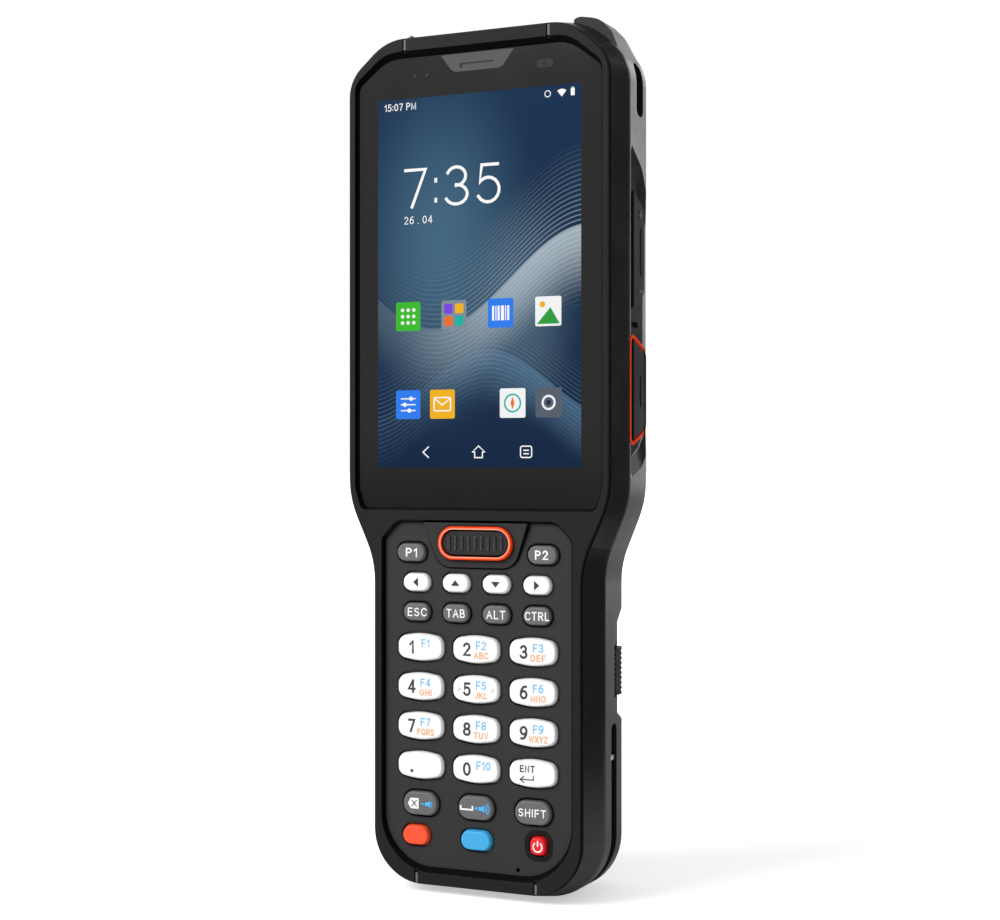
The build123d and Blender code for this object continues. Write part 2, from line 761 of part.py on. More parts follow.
def key_table():
    """Name, centre x, drop below the display, and (width, height, radius) of every key."""
    outer = deck_half - program_margin
    keys = [("key_p1", -outer, program_row, program_key),
            ("key_p2", outer, program_row, program_key)]
    arrows = ("key_left", "key_up", "key_down", "key_right")
    controls = ("key_esc", "key_tab", "key_alt", "key_ctrl")
    outer = deck_half - small_margin
    for names, drop in ((arrows, arrow_row), (controls, control_row)):
        for name, x in zip(names, (-outer, -outer / 3, outer / 3, outer)):
            keys.append((name, x, drop, small_key))
    digits = ("key_1", "key_2", "key_3", "key_4", "key_5", "key_6",
              "key_7", "key_8", "key_9", "key_point", "key_0", "key_enter")
    outer = deck_half - digit_margin
    columns = (-outer, 0.0, outer)
    for i, name in enumerate(digits):
        row, column = divmod(i, 3)
        keys.append((name, columns[column], digit_row + row * digit_pitch, None))
    for name, x in zip(("key_backspace", "key_space", "key_shift"), columns):
        keys.append((name, x, oval_row, oval_key))
    outer = deck_half - colour_margin
    keys.append(("key_orange", -outer, colour_row, orange_key))
    keys.append(("key_blue", 0.0, colour_row, blue_key))
    keys.append(("key_power", outer, colour_row, power_key))
    return keys


def key_corners(x, drop, shape):
    """Outline of one key; digit keys (no shape given) have arched upper and lower edges."""
    z = level(-drop)
    if shape:
        width, height, radius = shape
        return rounded_box_corners(width, height, radius, x, z)
    end = digit_rise - digit_arch
    crown = digit_rise + 0.12
    return [(x - digit_half, z + end, digit_corner), (x, z + crown, 16.0),
            (x + digit_half, z + end, digit_corner),
            (x + digit_half, z - end, digit_corner), (x, z - crown, 16.0),
            (x - digit_half, z - end, digit_corner)]


def key_cap(corners, height, x, z):
    """Cap above the deck, neck through the panel, flange behind it and a foot."""
    top_y = glass_y - height
    cap = flare(corners, top_y, -key_draft, corners, glass_y, 0)
    rim_edges = cap.edges().filter_by_position(Axis.Y, top_y - 0.01, top_y + 0.01)
    cap = fillet(rim_edges, key_edge)
    flange_y = panel_back_y + flange_gap
    neck = slab(corners, glass_y, flange_y)
    flange = slab(corners, flange_y, flange_y + key_flange, flange_lip)
    foot_y = mat_y - key_travel - flange_gap / 2
    foot = rod(x, z, key_foot_radius, flange_y, max(foot_y, flange_y + key_flange))
    return cap + neck + flange + foot


def make_key(name, x, drop, shape):
    """One key of the keypad."""
    z = level(-drop)
    key = key_cap(key_corners(x, drop, shape), key_height, x, z)
    if name == "key_5":
        for side in (-1, 1):
            bump = Pos(x + side * 4.3, glass_y - key_height + 0.25, z) * Sphere(0.5)
            key += bump
    return key


def scan_cap_corners(grow=0.0):
    """Stadium outline of the front scan key's cap."""
    width = scan_ring_size[0] - 2 * scan_ring_width - 2 * slide_gap
    height = scan_ring_size[1] - 2 * scan_ring_width - 2 * slide_gap
    return rounded_box_corners(width, height, height / 2 - 0.05, 0, level(-scan_drop))


def scan_ring_corners():
    """Stadium outline of the orange ring."""
    width, height = scan_ring_size
    return rounded_box_corners(width, height, height / 2 - 0.05, 0, level(-scan_drop))


def make_scan_key():
    """Front scan key with a row of upright ribs."""
    z = level(-scan_drop)
    cap = scan_cap_corners()
    top_y = front_y + scan_cap_sink
    flange_y = panel_back_y + flange_gap
    key = slab(cap, top_y, flange_y)
    key = fillet(key.edges().filter_by_position(Axis.Y, top_y - 0.01, top_y + 0.01), 0.3)
    key += slab(cap, flange_y, flange_y + key_flange, slide_gap + flange_lip)
    key += rod(0, z, key_foot_radius, flange_y, mat_y - key_travel - flange_gap / 2)
    rib_width, rib_height, rib_rise = scan_rib_size
    for i in range(scan_rib_count):
        x = (i - (scan_rib_count - 1) / 2) * scan_rib_pitch
        rib = rounded_box_corners(rib_width, rib_height, rib_width * 0.48, x, z)
        key += slab(rib, top_y - rib_rise, top_y + 0.2)
    return key


def make_scan_key_ring():
    """Orange ring round the front scan key, standing on the panel."""
    ring = slab(scan_ring_corners(), front_y, glass_y)
    ring = fillet(ring.edges().filter_by_position(Axis.Y, front_y - 0.01, front_y + 0.01), 0.3)
    return ring - slab(scan_ring_corners(), front_y - 1, glass_y + 1, -scan_ring_width)


def make_keypad_panel():
    """Recessed deck with a hole for each key and the raised pod of the scan key."""
    panel = slab(deck_corners(), glass_y, panel_back_y)
    top, foot = level(-deck_top), level(-pod_bottom)
    pod_outline = [(-pod_half, top, 0.1), (pod_half, top, 0.1),
                   (pod_foot_half, foot, 4.4), (-pod_foot_half, foot, 4.4)]
    groove_width, groove_depth_y = pod_groove
    groove_floor = glass_y + groove_depth_y
    deck = slab(deck_corners(), glass_y - 1, groove_floor)
    panel -= slab(pod_outline, glass_y - 1, groove_floor, groove_width) & deck
    pod = slab(pod_outline, rim_y, groove_floor)
    slope = [(rim_y - 2, top + 1, 0.01), (rim_y, top + 0.01, 0.01),
             (glass_y - pod_foot_height, foot, 0.01), (rim_y - 2, foot - 1, 0.01)]
    panel += pod - side_slab(slope, -pod_half - 1, pod_half + 1)
    panel -= slab(scan_ring_corners(), rim_y - 1, glass_y, fit)
    panel -= slab(scan_cap_corners(), rim_y - 1, panel_back_y + 1, slide_gap)
    for name, x, drop, shape in key_table():
        corners = key_corners(x, drop, shape)
        panel -= slab(corners, glass_y - 1, panel_back_y + 1, key_moat)
    column, drop, radius = microphone
    panel -= rod(column, level(-drop), radius, glass_y - 1, panel_back_y + 1)
    return panel


def make_key_mat():
    """Silicone sheet under the keys."""
    return slab(deck_corners(), mat_y, dome_y, -0.4)


def make_key_domes():
    """Metal snap domes, one under each key."""
    places = [(x, level(-drop)) for name, x, drop, shape in key_table()]
    places.append((0.0, level(-scan_drop)))
    return Compound(children=[rod(x, z, dome_radius, dome_y, keypad_board_y) for x, z in places])


def make_keypad_board():
    """Circuit board of the keypad, on the mid frame."""
    return slab(deck_corners(), keypad_board_y, frame_y, -0.3)


# ---------------------------------------------------------------- side keys

def make_side_pads():
    """Rubber pads on both sides of the head, with openings for the side keys."""
    flush_x = band_half - pad_sink
    pad = side_slab(pad_corners(), pad_floor_x, flush_x, -fit)
    front_gap, width, height, depth_x = pad_notch
    notch_y = ridge_y + pad_front_gap + front_gap
    notch_z = level((trigger_span[1] + volume_span[0]) / 2)
    pad -= block((flush_x - depth_x, flush_x + 1), (notch_y, notch_y + width),
                 (notch_z - height / 2, notch_z + height / 2))
    trigger = side_slab(trigger_corners(), pad_floor_x - 1, flush_x + 1, trigger_ring_width + fit)
    left = mirror_x(pad - trigger)
    right = pad - trigger - side_slab(volume_corners(), pad_floor_x - 1, flush_x + 1, slide_gap)
    return Compound(children=[right, left])


def make_trigger_rings():
    """Orange rings round the two side triggers."""
    outer_x = band_half + side_key_proud / 2
    ring = (side_slab(trigger_corners(), pad_floor_x, outer_x, trigger_ring_width)
            - side_slab(trigger_corners(), pad_floor_x - 1, outer_x + 1, slide_gap))
    return Compound(children=[ring, mirror_x(ring)])


def side_key(corners, span):
    """Side key's cap with its stem through the wall."""
    outer_x = band_half + side_key_proud
    cap = side_slab(corners, outer_x - side_key_thickness, outer_x)
    cap = fillet(cap.edges().filter_by_position(Axis.X, outer_x - 0.01, outer_x + 0.01), 0.3)
    y, z = side_key_middle(span)
    switch_x = rail_half + rail_thickness + switch_depth
    stem = block((switch_x + trigger_travel + slide_gap / 3, outer_x - side_key_thickness + 0.1),
                 (y - stem_width / 2, y + stem_width / 2),
                 (z - stem_height / 2, z + stem_height / 2))
    bottom, top = level(span[0]), level(span[1])
    groove_y = y + side_groove_width
    groove = [(groove_y - side_groove_width / 2, top - 8.5, 0.6),
              (groove_y + side_groove_width / 2, top - 8.5, 0.6),
              (groove_y + side_groove_width / 2, bottom + 8.0, 0.6),
              (groove_y - side_groove_width / 2, bottom + 8.0, 0.6)]
    return cap + stem - side_slab(groove, outer_x - side_groove_depth, outer_x + 1)


def make_volume_key():
    """Volume rocker with raised plus and minus marks."""
    key = side_key(volume_corners(), volume_span)
    y, z = side_key_middle(volume_span)
    outer_x = band_half + side_key_proud
    mark_y, bar, length = y + side_groove_width, 0.25, 0.95
    for mark_z in (level(volume_span[1]) - 5.6, level(volume_span[0]) + 4.6):
        key += block((outer_x - 0.1, outer_x + 0.12), (mark_y - length, mark_y + length),
                     (mark_z - bar, mark_z + bar))
    plus_z = level(volume_span[1]) - 5.6
    key += block((outer_x - 0.1, outer_x + 0.12), (mark_y - bar, mark_y + bar),
                 (plus_z - length, plus_z + length))
    return key


def make_side_trigger():
    """Right side scan trigger."""
    return side_key(trigger_corners(), trigger_span)


# ---------------------------------------------------------------- top scan window

def scan_window_span(grow=0.0):
    """X and Y spans of the scan window."""
    half_x, half_y = scan_window_size[0] / 2 + grow, scan_window_size[1] / 2 + grow
    y = behind(scan_window_back)
    return (-half_x, half_x), (y - half_y, y + half_y)


def pane_top():
    return level(rim_top) + facet_spread - scan_window_sink


def scan_window_cut():
    """Opening in the top for the pane, with a ledge under it."""
    floor = pane_top() - scan_window_thickness
    seat = block(*scan_window_span(fit), (floor, level(rim_top + guard_height)))
    through = block(*scan_window_span(-window_ledge), (level(rim_top) - 10, level(rim_top) + 1))
    return seat + through


def make_scan_window():
    """Clear pane in the top, between the guards."""
    return block(*scan_window_span(), (pane_top() - scan_window_thickness, pane_top()))


def engine_spans():
    """Spans of the scan engine under its window."""
    width, length, height = engine_size
    y = behind(scan_window_back) + engine_set_back
    top = level(rim_top) - cavity_inset - slide_gap
    return (-width / 2, width / 2), (y - length / 2, y + length / 2), (top - height, top)


def make_scan_engine():
    """Barcode imager: body, lens barrel and aiming light, looking up through the window."""
    x_span, y_span, z_span = engine_spans()
    lens_y = behind(scan_window_back)
    body = block(x_span, y_span, z_span)
    for x, radius in (imager, aimer):
        body -= Pos(x, lens_y, z_span[1]) * Cylinder(radius, barrel_depth * 2)
    return body + Pos(imager[0], lens_y, z_span[1] - barrel_depth * 0.8) * Sphere(imager[1] / 2)


def engine_bracket():
    """Boss on the back wall that carries the scan engine."""
    x_span, y_span, z_span = engine_spans()
    return block((-6, 6), (y_span[1], cavity_back_y + 0.5), (z_span[0] + 1, z_span[1] - 1))


# ---------------------------------------------------------------- back of the head

def camera_cut():
    """Holes for the rear camera and its flash."""
    x, height = camera_place
    camera = rod(x, level(height), camera_radius + fit, cavity_back_y - 1, back_y + 1)
    return camera + rod(x, level(height - flash_drop), flash_radius + fit, cavity_back_y - 1,
                        back_y + 1)


def make_rear_camera():
    """Rear camera and flash on one small board, looking out of the back."""
    x, height = camera_place
    face_y = back_y - camera_face_sink
    board_y = cavity_back_y - camera_board_depth
    z, flash_z = level(height), level(height - flash_drop)
    camera = rod(x, z, camera_radius, board_y, face_y)
    camera -= rod(x, z, camera_lens_radius, face_y - camera_lens_depth, face_y + 1)
    flash = rod(x, flash_z, flash_radius, board_y, face_y)
    flange = camera_radius + camera_flange
    board = block((x - flange, x + flange), (board_y, cavity_back_y),
                  (flash_z - flash_radius - camera_flange, z + flange))
    return camera + flash + board


def speaker_slots():
    """Row of slots in the back in front of the loudspeaker."""
    x, height = speaker_place
    slots = None
    for i in range(speaker_slot_count):
        z = level(height) + (i - (speaker_slot_count - 1) / 2) * speaker_slot_pitch
        width, tall = speaker_slot_size
        slot = slab(rounded_box_corners(width, tall, tall * 0.45, x, z), cavity_back_y - 1, back_y + 1)
        slots = slot if slots is None else slots + slot
    return slots


def make_loudspeaker():
    """Loudspeaker on the inside of the back."""
    x, height = speaker_place
    width, thickness, tall = speaker_size
    z = level(height)
    return block((x - width / 2, x + width / 2), (cavity_back_y - thickness, cavity_back_y),
                 (z - tall / 2, z + tall / 2))


# ---------------------------------------------------------------- frame and electronics

def make_mid_frame():
    """Light metal frame: carries display, boards and the side switches."""
    rim = rim_corners()
    frame = slab(rim, frame_y, frame_back_y, -frame_inset)
    for side in (-1, 1):
        rail_low = side_key_middle(trigger_span)[1] - switch_size[1] / 2 - rail_margin
        rail_high = side_key_middle(volume_span)[1] + switch_size[1] / 2 + rail_margin
        rail = block((rail_half, rail_half + rail_thickness),
                     (frame_back_y - 0.1, behind(rail_back)), (rail_low, rail_high))
        frame += rail if side > 0 else mirror_x(rail)
        for z in (level(board_span[0]) + board_post_ends[0], level(board_span[1]) - board_post_ends[1]):
            x = side * (board_half - board_post_inset)
            frame += rod(x, z, board_post_radius, frame_y, behind(board_front))
    for x, z, seat in screw_places():
        frame += rod(x, z, post_radius, frame_y, behind(post_joint))
        frame -= rod(x, z, screw_radius + 0.02, behind(post_joint) - screw_bite,
                     behind(post_joint) + 1)
    return frame


def make_main_board():
    """Main circuit board with its shield cans."""
    low, high = level(board_span[0]), level(board_span[1])
    front, back = behind(board_front), behind(board_front + board_thickness)
    board = block((-board_half, board_half), (front, back), (low, high))
    half, thickness, height = rear_can
    base = level(can_base)
    board += block((-half, half), (back, back + thickness), (base, base + height))
    half, thickness, height = front_can
    return board + block((-half, half), (front - thickness, front), (base, base + height))


def make_side_switches():
    """Tactile switches on the mid frame's rails, under the side keys."""
    def switch(z):
        y = side_key_middle(trigger_span)[0]
        inner = rail_half + rail_thickness
        width, height = switch_size
        return block((inner, inner + switch_depth), (y - width / 2, y + width / 2),
                     (z - height / 2, z + height / 2))

    trigger = switch(side_key_middle(trigger_span)[1])
    volume = switch(side_key_middle(volume_span)[1])
    return Compound(children=[trigger, volume, mirror_x(trigger)])


def make_battery_contacts():
    """Contact block on the main board, with spring pins that reach the battery."""
    width, height = contact_block
    z = level(-contact_drop)
    board_back = behind(board_front + board_thickness)
    body = block((-width / 2, width / 2), (board_back, battery_y - 0.4),
                 (z - height / 2, z + height / 2))
    for i in range(contact_count):
        x = (i - (contact_count - 1) / 2) * contact_pitch
        body += rod(x, z, contact_radius, battery_y - 1, battery_y + battery_gap - contact_gap)
    return body


def contact_slot():
    """Opening in the bay floor for the battery contacts."""
    width, height = contact_block
    z = level(-contact_drop)
    return block((-width / 2 - fit, width / 2 + fit), (bay_floor_y - 1, battery_y + 1),
                 (z - height / 2 - fit, z + height / 2 + fit))


def dock_pocket():
    """Pocket in the base for the dock contacts."""
    width, length, height = dock_size
    y = behind(dock_back)
    return block((-width / 2 - fit, width / 2 + fit), (y - length / 2 - fit, y + length / 2 + fit),
                 (-1, dock_sink + height))


def make_dock_contacts():
    """Contact strip in the base: a body with a row of pads."""
    width, length, height = dock_size
    y = behind(dock_back)
    strip = block((-width / 2, width / 2), (y - length / 2, y + length / 2),
                  (dock_sink, dock_sink + height))
    for i in range(contact_count):
        x = (i - (contact_count - 1) / 2) * contact_pitch
        strip += block((x - dock_pad[0] / 2, x + dock_pad[0] / 2),
                       (y - dock_pad[1] / 2, y + dock_pad[1] / 2), (dock_sink / 2, dock_sink + 0.1))
    return strip


def make_housing_screws():
    """Six screws that hold the rear housing to the mid frame."""
    screws = []
    for x, z, seat in screw_places():
        shank = rod(x, z, screw_radius, behind(post_joint) - screw_bite + 0.2, seat)
        head = rod(x, z, screw_head_radius, seat, seat + screw_head_height)
        drive = rod(x, z, 0.9, seat + screw_head_height - 0.7, seat + screw_head_height + 1)
        screws.append(shank + head - drive)
    return Compound(children=screws)


# ---------------------------------------------------------------- battery

def make_battery_pack():
    """Removable battery: forms the back of the grip, with a pocket for each latch."""
    pack = body_envelope() & battery_zone(battery_gap)
    half = latch_length / 2 + slide_gap
    z = level(-latch_drop)
    outer = grip_band_half - finger_recess_depth + latch_proud
    stem_end = outer - latch_thickness - latch_stem[0] - latch_travel - slide_gap
    latch_back = behind(latch_front) + latch_width
    pocket = block((stem_end, grip_band_half + 1), (battery_y, latch_back + slide_gap),
                   (z - half, z + half))
    right = pocket + finger_recess_cut()
    return pack - right - mirror_x(right)


def make_battery_latch():
    """Right battery latch: ribbed button with a stem in the battery's pocket."""
    z = level(-latch_drop)
    outer = grip_band_half - finger_recess_depth + latch_proud
    inner = outer - latch_thickness
    front = behind(latch_front)
    back = front + latch_width
    half = latch_length / 2
    button = side_slab([(front, z + half, 1.6), (back, z + half, 0.6),
                        (back, z - half, 0.6), (front, z - half, 1.6)], inner, outer)
    behind_ribs = block((outer - latch_thickness, outer + 1), (front + latch_ribs_width, back + 1),
                        (z - half - 1, z + half + 1))
    button -= behind_ribs - recess_floor()
    button = fillet(button.edges().filter_by_position(Axis.X, outer - 0.01, outer + 0.01), 0.5)
    groove_width, groove_depth_x = latch_groove
    for i in range(latch_rib_count):
        groove_z = z + (i - (latch_rib_count - 1) / 2) * latch_rib_pitch
        button -= block((outer - groove_depth_x, outer + 1), (front - 1, back + 1),
                        (groove_z - groove_width / 2, groove_z + groove_width / 2))
    length, width, height = latch_stem
    stem = block((inner - length, inner + 0.1), (back - width, back),
                 (z - height / 2, z + height / 2))
    return button + stem


# ---------------------------------------------------------------- all sub-parts

def make_all():
    """Every sub-part by its name."""
    trigger = make_side_trigger()
    latch = make_battery_latch()
    parts = {
        "front_housing": make_front_housing(),
        "rear_housing": make_rear_housing(),
        "seam_gasket": make_seam_gasket(),
        "display_window": make_display_window(),
        "display_module": make_display_module(),
        "earpiece_insert": make_earpiece_insert(),
        "receiver": make_receiver(),
        "front_sensors": make_front_sensors(),
        "keypad_panel": make_keypad_panel(),
        "key_mat": make_key_mat(),
        "key_domes": make_key_domes(),
        "keypad_board": make_keypad_board(),
        "scan_key_ring": make_scan_key_ring(),
        "scan_key": make_scan_key(),
        "side_pads": make_side_pads(),
        "trigger_rings": make_trigger_rings(),
        "volume_key": make_volume_key(),
        "side_trigger_right": trigger,
        "side_trigger_left": mirror_x(trigger),
        "side_switches": make_side_switches(),
        "scan_window": make_scan_window(),
        "scan_engine": make_scan_engine(),
        "rear_camera": make_rear_camera(),
        "loudspeaker": make_loudspeaker(),
        "mid_frame": make_mid_frame(),
        "main_board": make_main_board(),
        "battery_contacts": make_battery_contacts(),
        "dock_contacts": make_dock_contacts(),
        "housing_screws": make_housing_screws(),
        "battery_pack": make_battery_pack(),
        "battery_latch_right": latch,
        "battery_latch_left": mirror_x(latch),
    }
    for name, x, drop, shape in key_table():
        parts[name] = make_key(name, x, drop, shape)
    return parts


os.makedirs("parts", exist_ok=True)
for part_name, part in make_all().items():
    export_step(part, os.path.join("parts", part_name + ".step"))
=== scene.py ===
# %% [markdown]
# # A rugged barcode data terminal
# The solids of this handheld come ready made, in metres, with every key and latch on its own body.
# This lesson dresses them: it gives each one the finish of its real material, prints the legends
# on the keys, lights up the display, and sets the object in a pale studio.

# %% Load the solids
import math

import bmesh
import bpy
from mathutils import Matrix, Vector


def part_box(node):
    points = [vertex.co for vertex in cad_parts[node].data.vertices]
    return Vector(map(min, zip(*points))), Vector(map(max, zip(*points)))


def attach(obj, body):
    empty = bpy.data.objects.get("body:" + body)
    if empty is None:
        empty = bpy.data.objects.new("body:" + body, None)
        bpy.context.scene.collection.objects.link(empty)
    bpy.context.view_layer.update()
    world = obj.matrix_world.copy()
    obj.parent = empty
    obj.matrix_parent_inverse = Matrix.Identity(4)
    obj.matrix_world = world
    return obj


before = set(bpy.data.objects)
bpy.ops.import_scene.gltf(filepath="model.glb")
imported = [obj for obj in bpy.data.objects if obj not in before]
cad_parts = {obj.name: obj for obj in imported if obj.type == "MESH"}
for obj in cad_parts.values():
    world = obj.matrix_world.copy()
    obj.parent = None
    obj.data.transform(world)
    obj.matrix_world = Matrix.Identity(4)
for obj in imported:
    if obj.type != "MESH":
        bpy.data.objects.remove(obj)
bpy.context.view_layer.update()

# %% [markdown]
# ## Sizes to start from
# What is drawn on the display is placed from its middle and its lower edge, and a legend from the
# middle of its key. Depths come from the solids, so a print always lies on what carries it.

# %% Reference sizes
MM = 0.001
SCREEN_WIDTH, SCREEN_HEIGHT = 52.3, 87.2
SCREEN_BASE = 99.65          # height of the display's lower edge above the floor
INK = 0.03                   # thickness of a printed layer, in millimetres

glass_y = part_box("display_window")[0].y / MM
rim_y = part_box("front_housing")[0].y / MM
key_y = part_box("key_1")[0].y / MM
print("glass, rim and key fronts in mm:", round(glass_y, 2), round(rim_y, 2), round(key_y, 2))

# %% [markdown]
# ## Colours and nodes
# Colours are written as sRGB hex values, the way a paint is quoted, and one function turns them to
# the linear numbers that a renderer works in. Another adds a node with its settings and links. The
# short ones after it make the few nodes that all finishes share, in the tree of their socket.

# %% Colour and node helpers
def linear(code, times=1.0):
    """An sRGB hex colour such as #2A2A2A as linear RGBA, made darker or lighter by a factor."""
    channels = [int(code[i:i + 2], 16) / 255 for i in (1, 3, 5)]
    channels = [c / 12.92 if c <= 0.04045 else ((c + 0.055) / 1.055) ** 2.4 for c in channels]
    return [min(1.0, c * times) for c in channels] + [1.0]


def add(tree, kind, inputs=None, **settings):
    """Adds one node. A value in inputs is a number, a colour, or the socket that feeds it."""
    node = tree.nodes.new(kind)
    for name, value in settings.items():
        setattr(node, name, value)
    for key, value in (inputs or {}).items():
        if isinstance(value, bpy.types.NodeSocket):
            tree.links.new(value, node.inputs[key])
        else:
            node.inputs[key].default_value = value
    return node


def place_in(tree):
    """The place on the object, in metres."""
    return add(tree, "ShaderNodeTexCoord").outputs["Object"]


def calc(operation, *values):
    """One step of arithmetic with numbers, of which the first is a socket."""
    tree = values[0].id_data
    return add(tree, "ShaderNodeMath", dict(enumerate(values)), operation=operation).outputs[0]


def vector_calc(operation, *values):
    """One step of arithmetic with vectors, of which the first is a socket."""
    tree = values[0].id_data
    node = add(tree, "ShaderNodeVectorMath", dict(enumerate(values)), operation=operation)
    return node.outputs["Value" if operation in ("DOT_PRODUCT", "LENGTH") else "Vector"]


def ramp(value, start, stop, low=0.0, high=1.0, kind="LINEAR"):
    """Turns start to stop into low to high, and holds the end values outside."""
    return add(value.id_data, "ShaderNodeMapRange",
               {"Value": value, "From Min": start, "From Max": stop, "To Min": low, "To Max": high},
               interpolation_type=kind).outputs[0]


def mix(share, first, second, numbers=False):
    """Two colours or numbers mixed: all first at share 0, all second at share 1."""
    at, out, kind = (2, 0, "FLOAT") if numbers else (6, 2, "RGBA")
    inputs = {0: share, at: first, at + 1: second}
    return add(share.id_data, "ShaderNodeMix", inputs, data_type=kind).outputs[out]


def noise(place, size, detail, **more):
    """Soft random spots of a size in millimetres."""
    inputs = {"Vector": place, "Scale": 1 / (size * MM), "Detail": detail, **more}
    return add(place.id_data, "ShaderNodeTexNoise", inputs).outputs[0]


def new_material(name):
    """An empty node material and its tree."""
    material = bpy.data.materials.new(name)
    material.use_nodes = True
    material.node_tree.nodes.clear()
    return material, material.node_tree


def finished(material, inputs):
    """Gives a material its surface shader and its output."""
    shader = add(material.node_tree, "ShaderNodeBsdfPrincipled", inputs)
    add(material.node_tree, "ShaderNodeOutputMaterial", {0: shader.outputs[0]})
    return material


print("helpers ready; mid grey in linear light:", round(linear("#808080")[0], 3))

# %% [markdown]
# ## Moulded surfaces
# Nearly all of this object is injection moulded. A mould's steel is spark eroded, which leaves a
# fine even grain on the plastic, and handling polishes and scuffs the edges. So each moulded
# finish has three layers: a slow mottle in colour and gloss, a grain as bump, and a lighter colour
# where the surface turns sharply, which is partly wear and partly painted highlight. The Bevel node
# rounds the shading of hard edges by a few tenths of a millimetre, as a real mould does, and where
# its normal leaves the true one, there is an edge. In gaps and under walls the colour is darkened
# as painted shade, and the surface is duller; the Ambient Occlusion node finds those places. A
# real grain is about 0.1 mm, too fine to show from here, so it is drawn three to four times as
# coarse.

# %% Moulded finish
MOTTLE_SIZE = 14             # size of the slow mottle in millimetres
GLOSS_SPREAD = 0.05          # how far the roughness wanders up and down


def moulded(name, colour, roughness=0.45, grain=0.35, depth=0.012, edge=0.25, edge_tone_rubbed_and_highlit=None,
            wear=0.35, mottle=0.12, specular=0.3, shade_reach=0.0, shade_tone=0.15, **sockets):
    """Moulded plastic or rubber: sizes in millimetres, colours as sRGB hex."""
    material, tree = new_material(name)
    place = place_in(tree)
    slow = noise(place, MOTTLE_SIZE, 3.0)
    fine = noise(place, grain, 2.0, Roughness=0.6)
    round_edge = add(tree, "ShaderNodeBevel", {"Radius": edge * MM}, samples=4).outputs[0]
    true_normal = add(tree, "ShaderNodeNewGeometry").outputs["Normal"]
    turn = vector_calc("DOT_PRODUCT", round_edge, true_normal)
    # The lighter edge colour is partly wear and partly a painted highlight.
    rubbed_and_highlit_share = calc("MULTIPLY", ramp(turn, 0.985, 0.80, 0.0, wear), slow)
    body = mix(slow, linear(colour, 1 - mottle), linear(colour, 1 + mottle))
    base = mix(rubbed_and_highlit_share, body, linear(edge_tone_rubbed_and_highlit or colour))
    rough = ramp(slow, 0.3, 0.7, roughness - GLOSS_SPREAD, roughness + GLOSS_SPREAD)
    bump = add(tree, "ShaderNodeBump", {"Height": fine, "Distance": depth * MM, "Strength": 1.0,
                                        "Normal": round_edge})
    if shade_reach:
        # Painted shade: corners narrower than this reach get a darker colour and a duller surface.
        open_sky = add(tree, "ShaderNodeAmbientOcclusion", {"Distance": shade_reach * MM}, samples=6)
        unshaded = ramp(open_sky.outputs["AO"], 0.55, 0.97)
        base = mix(unshaded, linear(colour, shade_tone), base)
        rough = mix(unshaded, 1.0, rough, numbers=True)
    return finished(material, {"Base Color": base, "Roughness": rough, "Normal": bump.outputs[0],
                               "Specular IOR Level": specular, **sockets})


# %% [markdown]
# The housing is a black polycarbonate and ABS blend: tough, slightly satin, never quite black.
# The keypad deck is the same resin in a finer grain. The scan cap's ribs are painted pale as a
# highlight, the side keys are darker, and the gasket and side pads are rubber, which scatters
# more and shines less.

# %% Black plastics and rubbers
housing_front = moulded("pc_abs_black_front", "#202020", edge_tone_rubbed_and_highlit="#3C3C3C", roughness=0.5,
                        specular=0.1, shade_reach=2.2, shade_tone=0.02)
housing_rear = moulded("pc_abs_black_rear", "#1E1E1E", edge_tone_rubbed_and_highlit="#5A5A5A", roughness=0.28,
                       edge=0.3, specular=0.42, shade_reach=1.2, shade_tone=0.1)
battery_shell = moulded("pc_abs_black_battery", "#262626", edge_tone_rubbed_and_highlit="#4C4C4C", roughness=0.42)
deck_plastic = moulded("pc_abs_fine_grain_deck", "#272727", grain=0.28, depth=0.006,
                       roughness=0.5, edge_tone_rubbed_and_highlit="#3C3C3C", shade_reach=1.1, shade_tone=0.05)
gasket_rubber = moulded("silicone_rubber_black", "#0A0A0A", roughness=0.75, wear=0.0,
                        specular=0.15)
pad_rubber = moulded("tpu_side_pad", "#1C1C1C", roughness=0.65, grain=0.45, depth=0.02,
                     edge_tone_rubbed_and_highlit="#4A4A4A", specular=0.14)
side_key_plastic = moulded("pc_side_key_satin", "#121212", roughness=0.5, edge_tone_rubbed_and_highlit="#8A8A8A",
                           wear=0.9, specular=0.06)
latch_plastic = moulded("pom_latch_black", "#161616", roughness=0.5, edge_tone_rubbed_and_highlit="#3A3A3A",
                        specular=0.15)
# Painted highlight: the pale edge colour on the scan cap's ribs.
scan_cap_plastic = moulded("pc_scan_cap", "#1C1C1C", roughness=0.4, edge_tone_rubbed_and_highlit="#A8A8A8", wear=2.2,
                           edge=0.15, shade_reach=0.5, shade_tone=0.1)
inner_plastic = moulded("pbt_black_inner", "#101010", roughness=0.55, edge_tone_rubbed_and_highlit="#262626")
insert_plastic = moulded("abs_grey_insert", "#4A4A4A", roughness=0.5, grain=0.3, edge_tone_rubbed_and_highlit="#7A7A7A",
                         specular=0.25)
print("black plastics made")

# %% [markdown]
# Key caps are moulded in coloured polycarbonate, so the colour goes all the way through and wear
# hardly shows. They are smoother than the housing, with a soft sheen; the white and grey caps are
# darker in their gaps as painted shade. The orange rings are a saturated moulded part too, and
# the paler colour at their edges is a painted highlight.

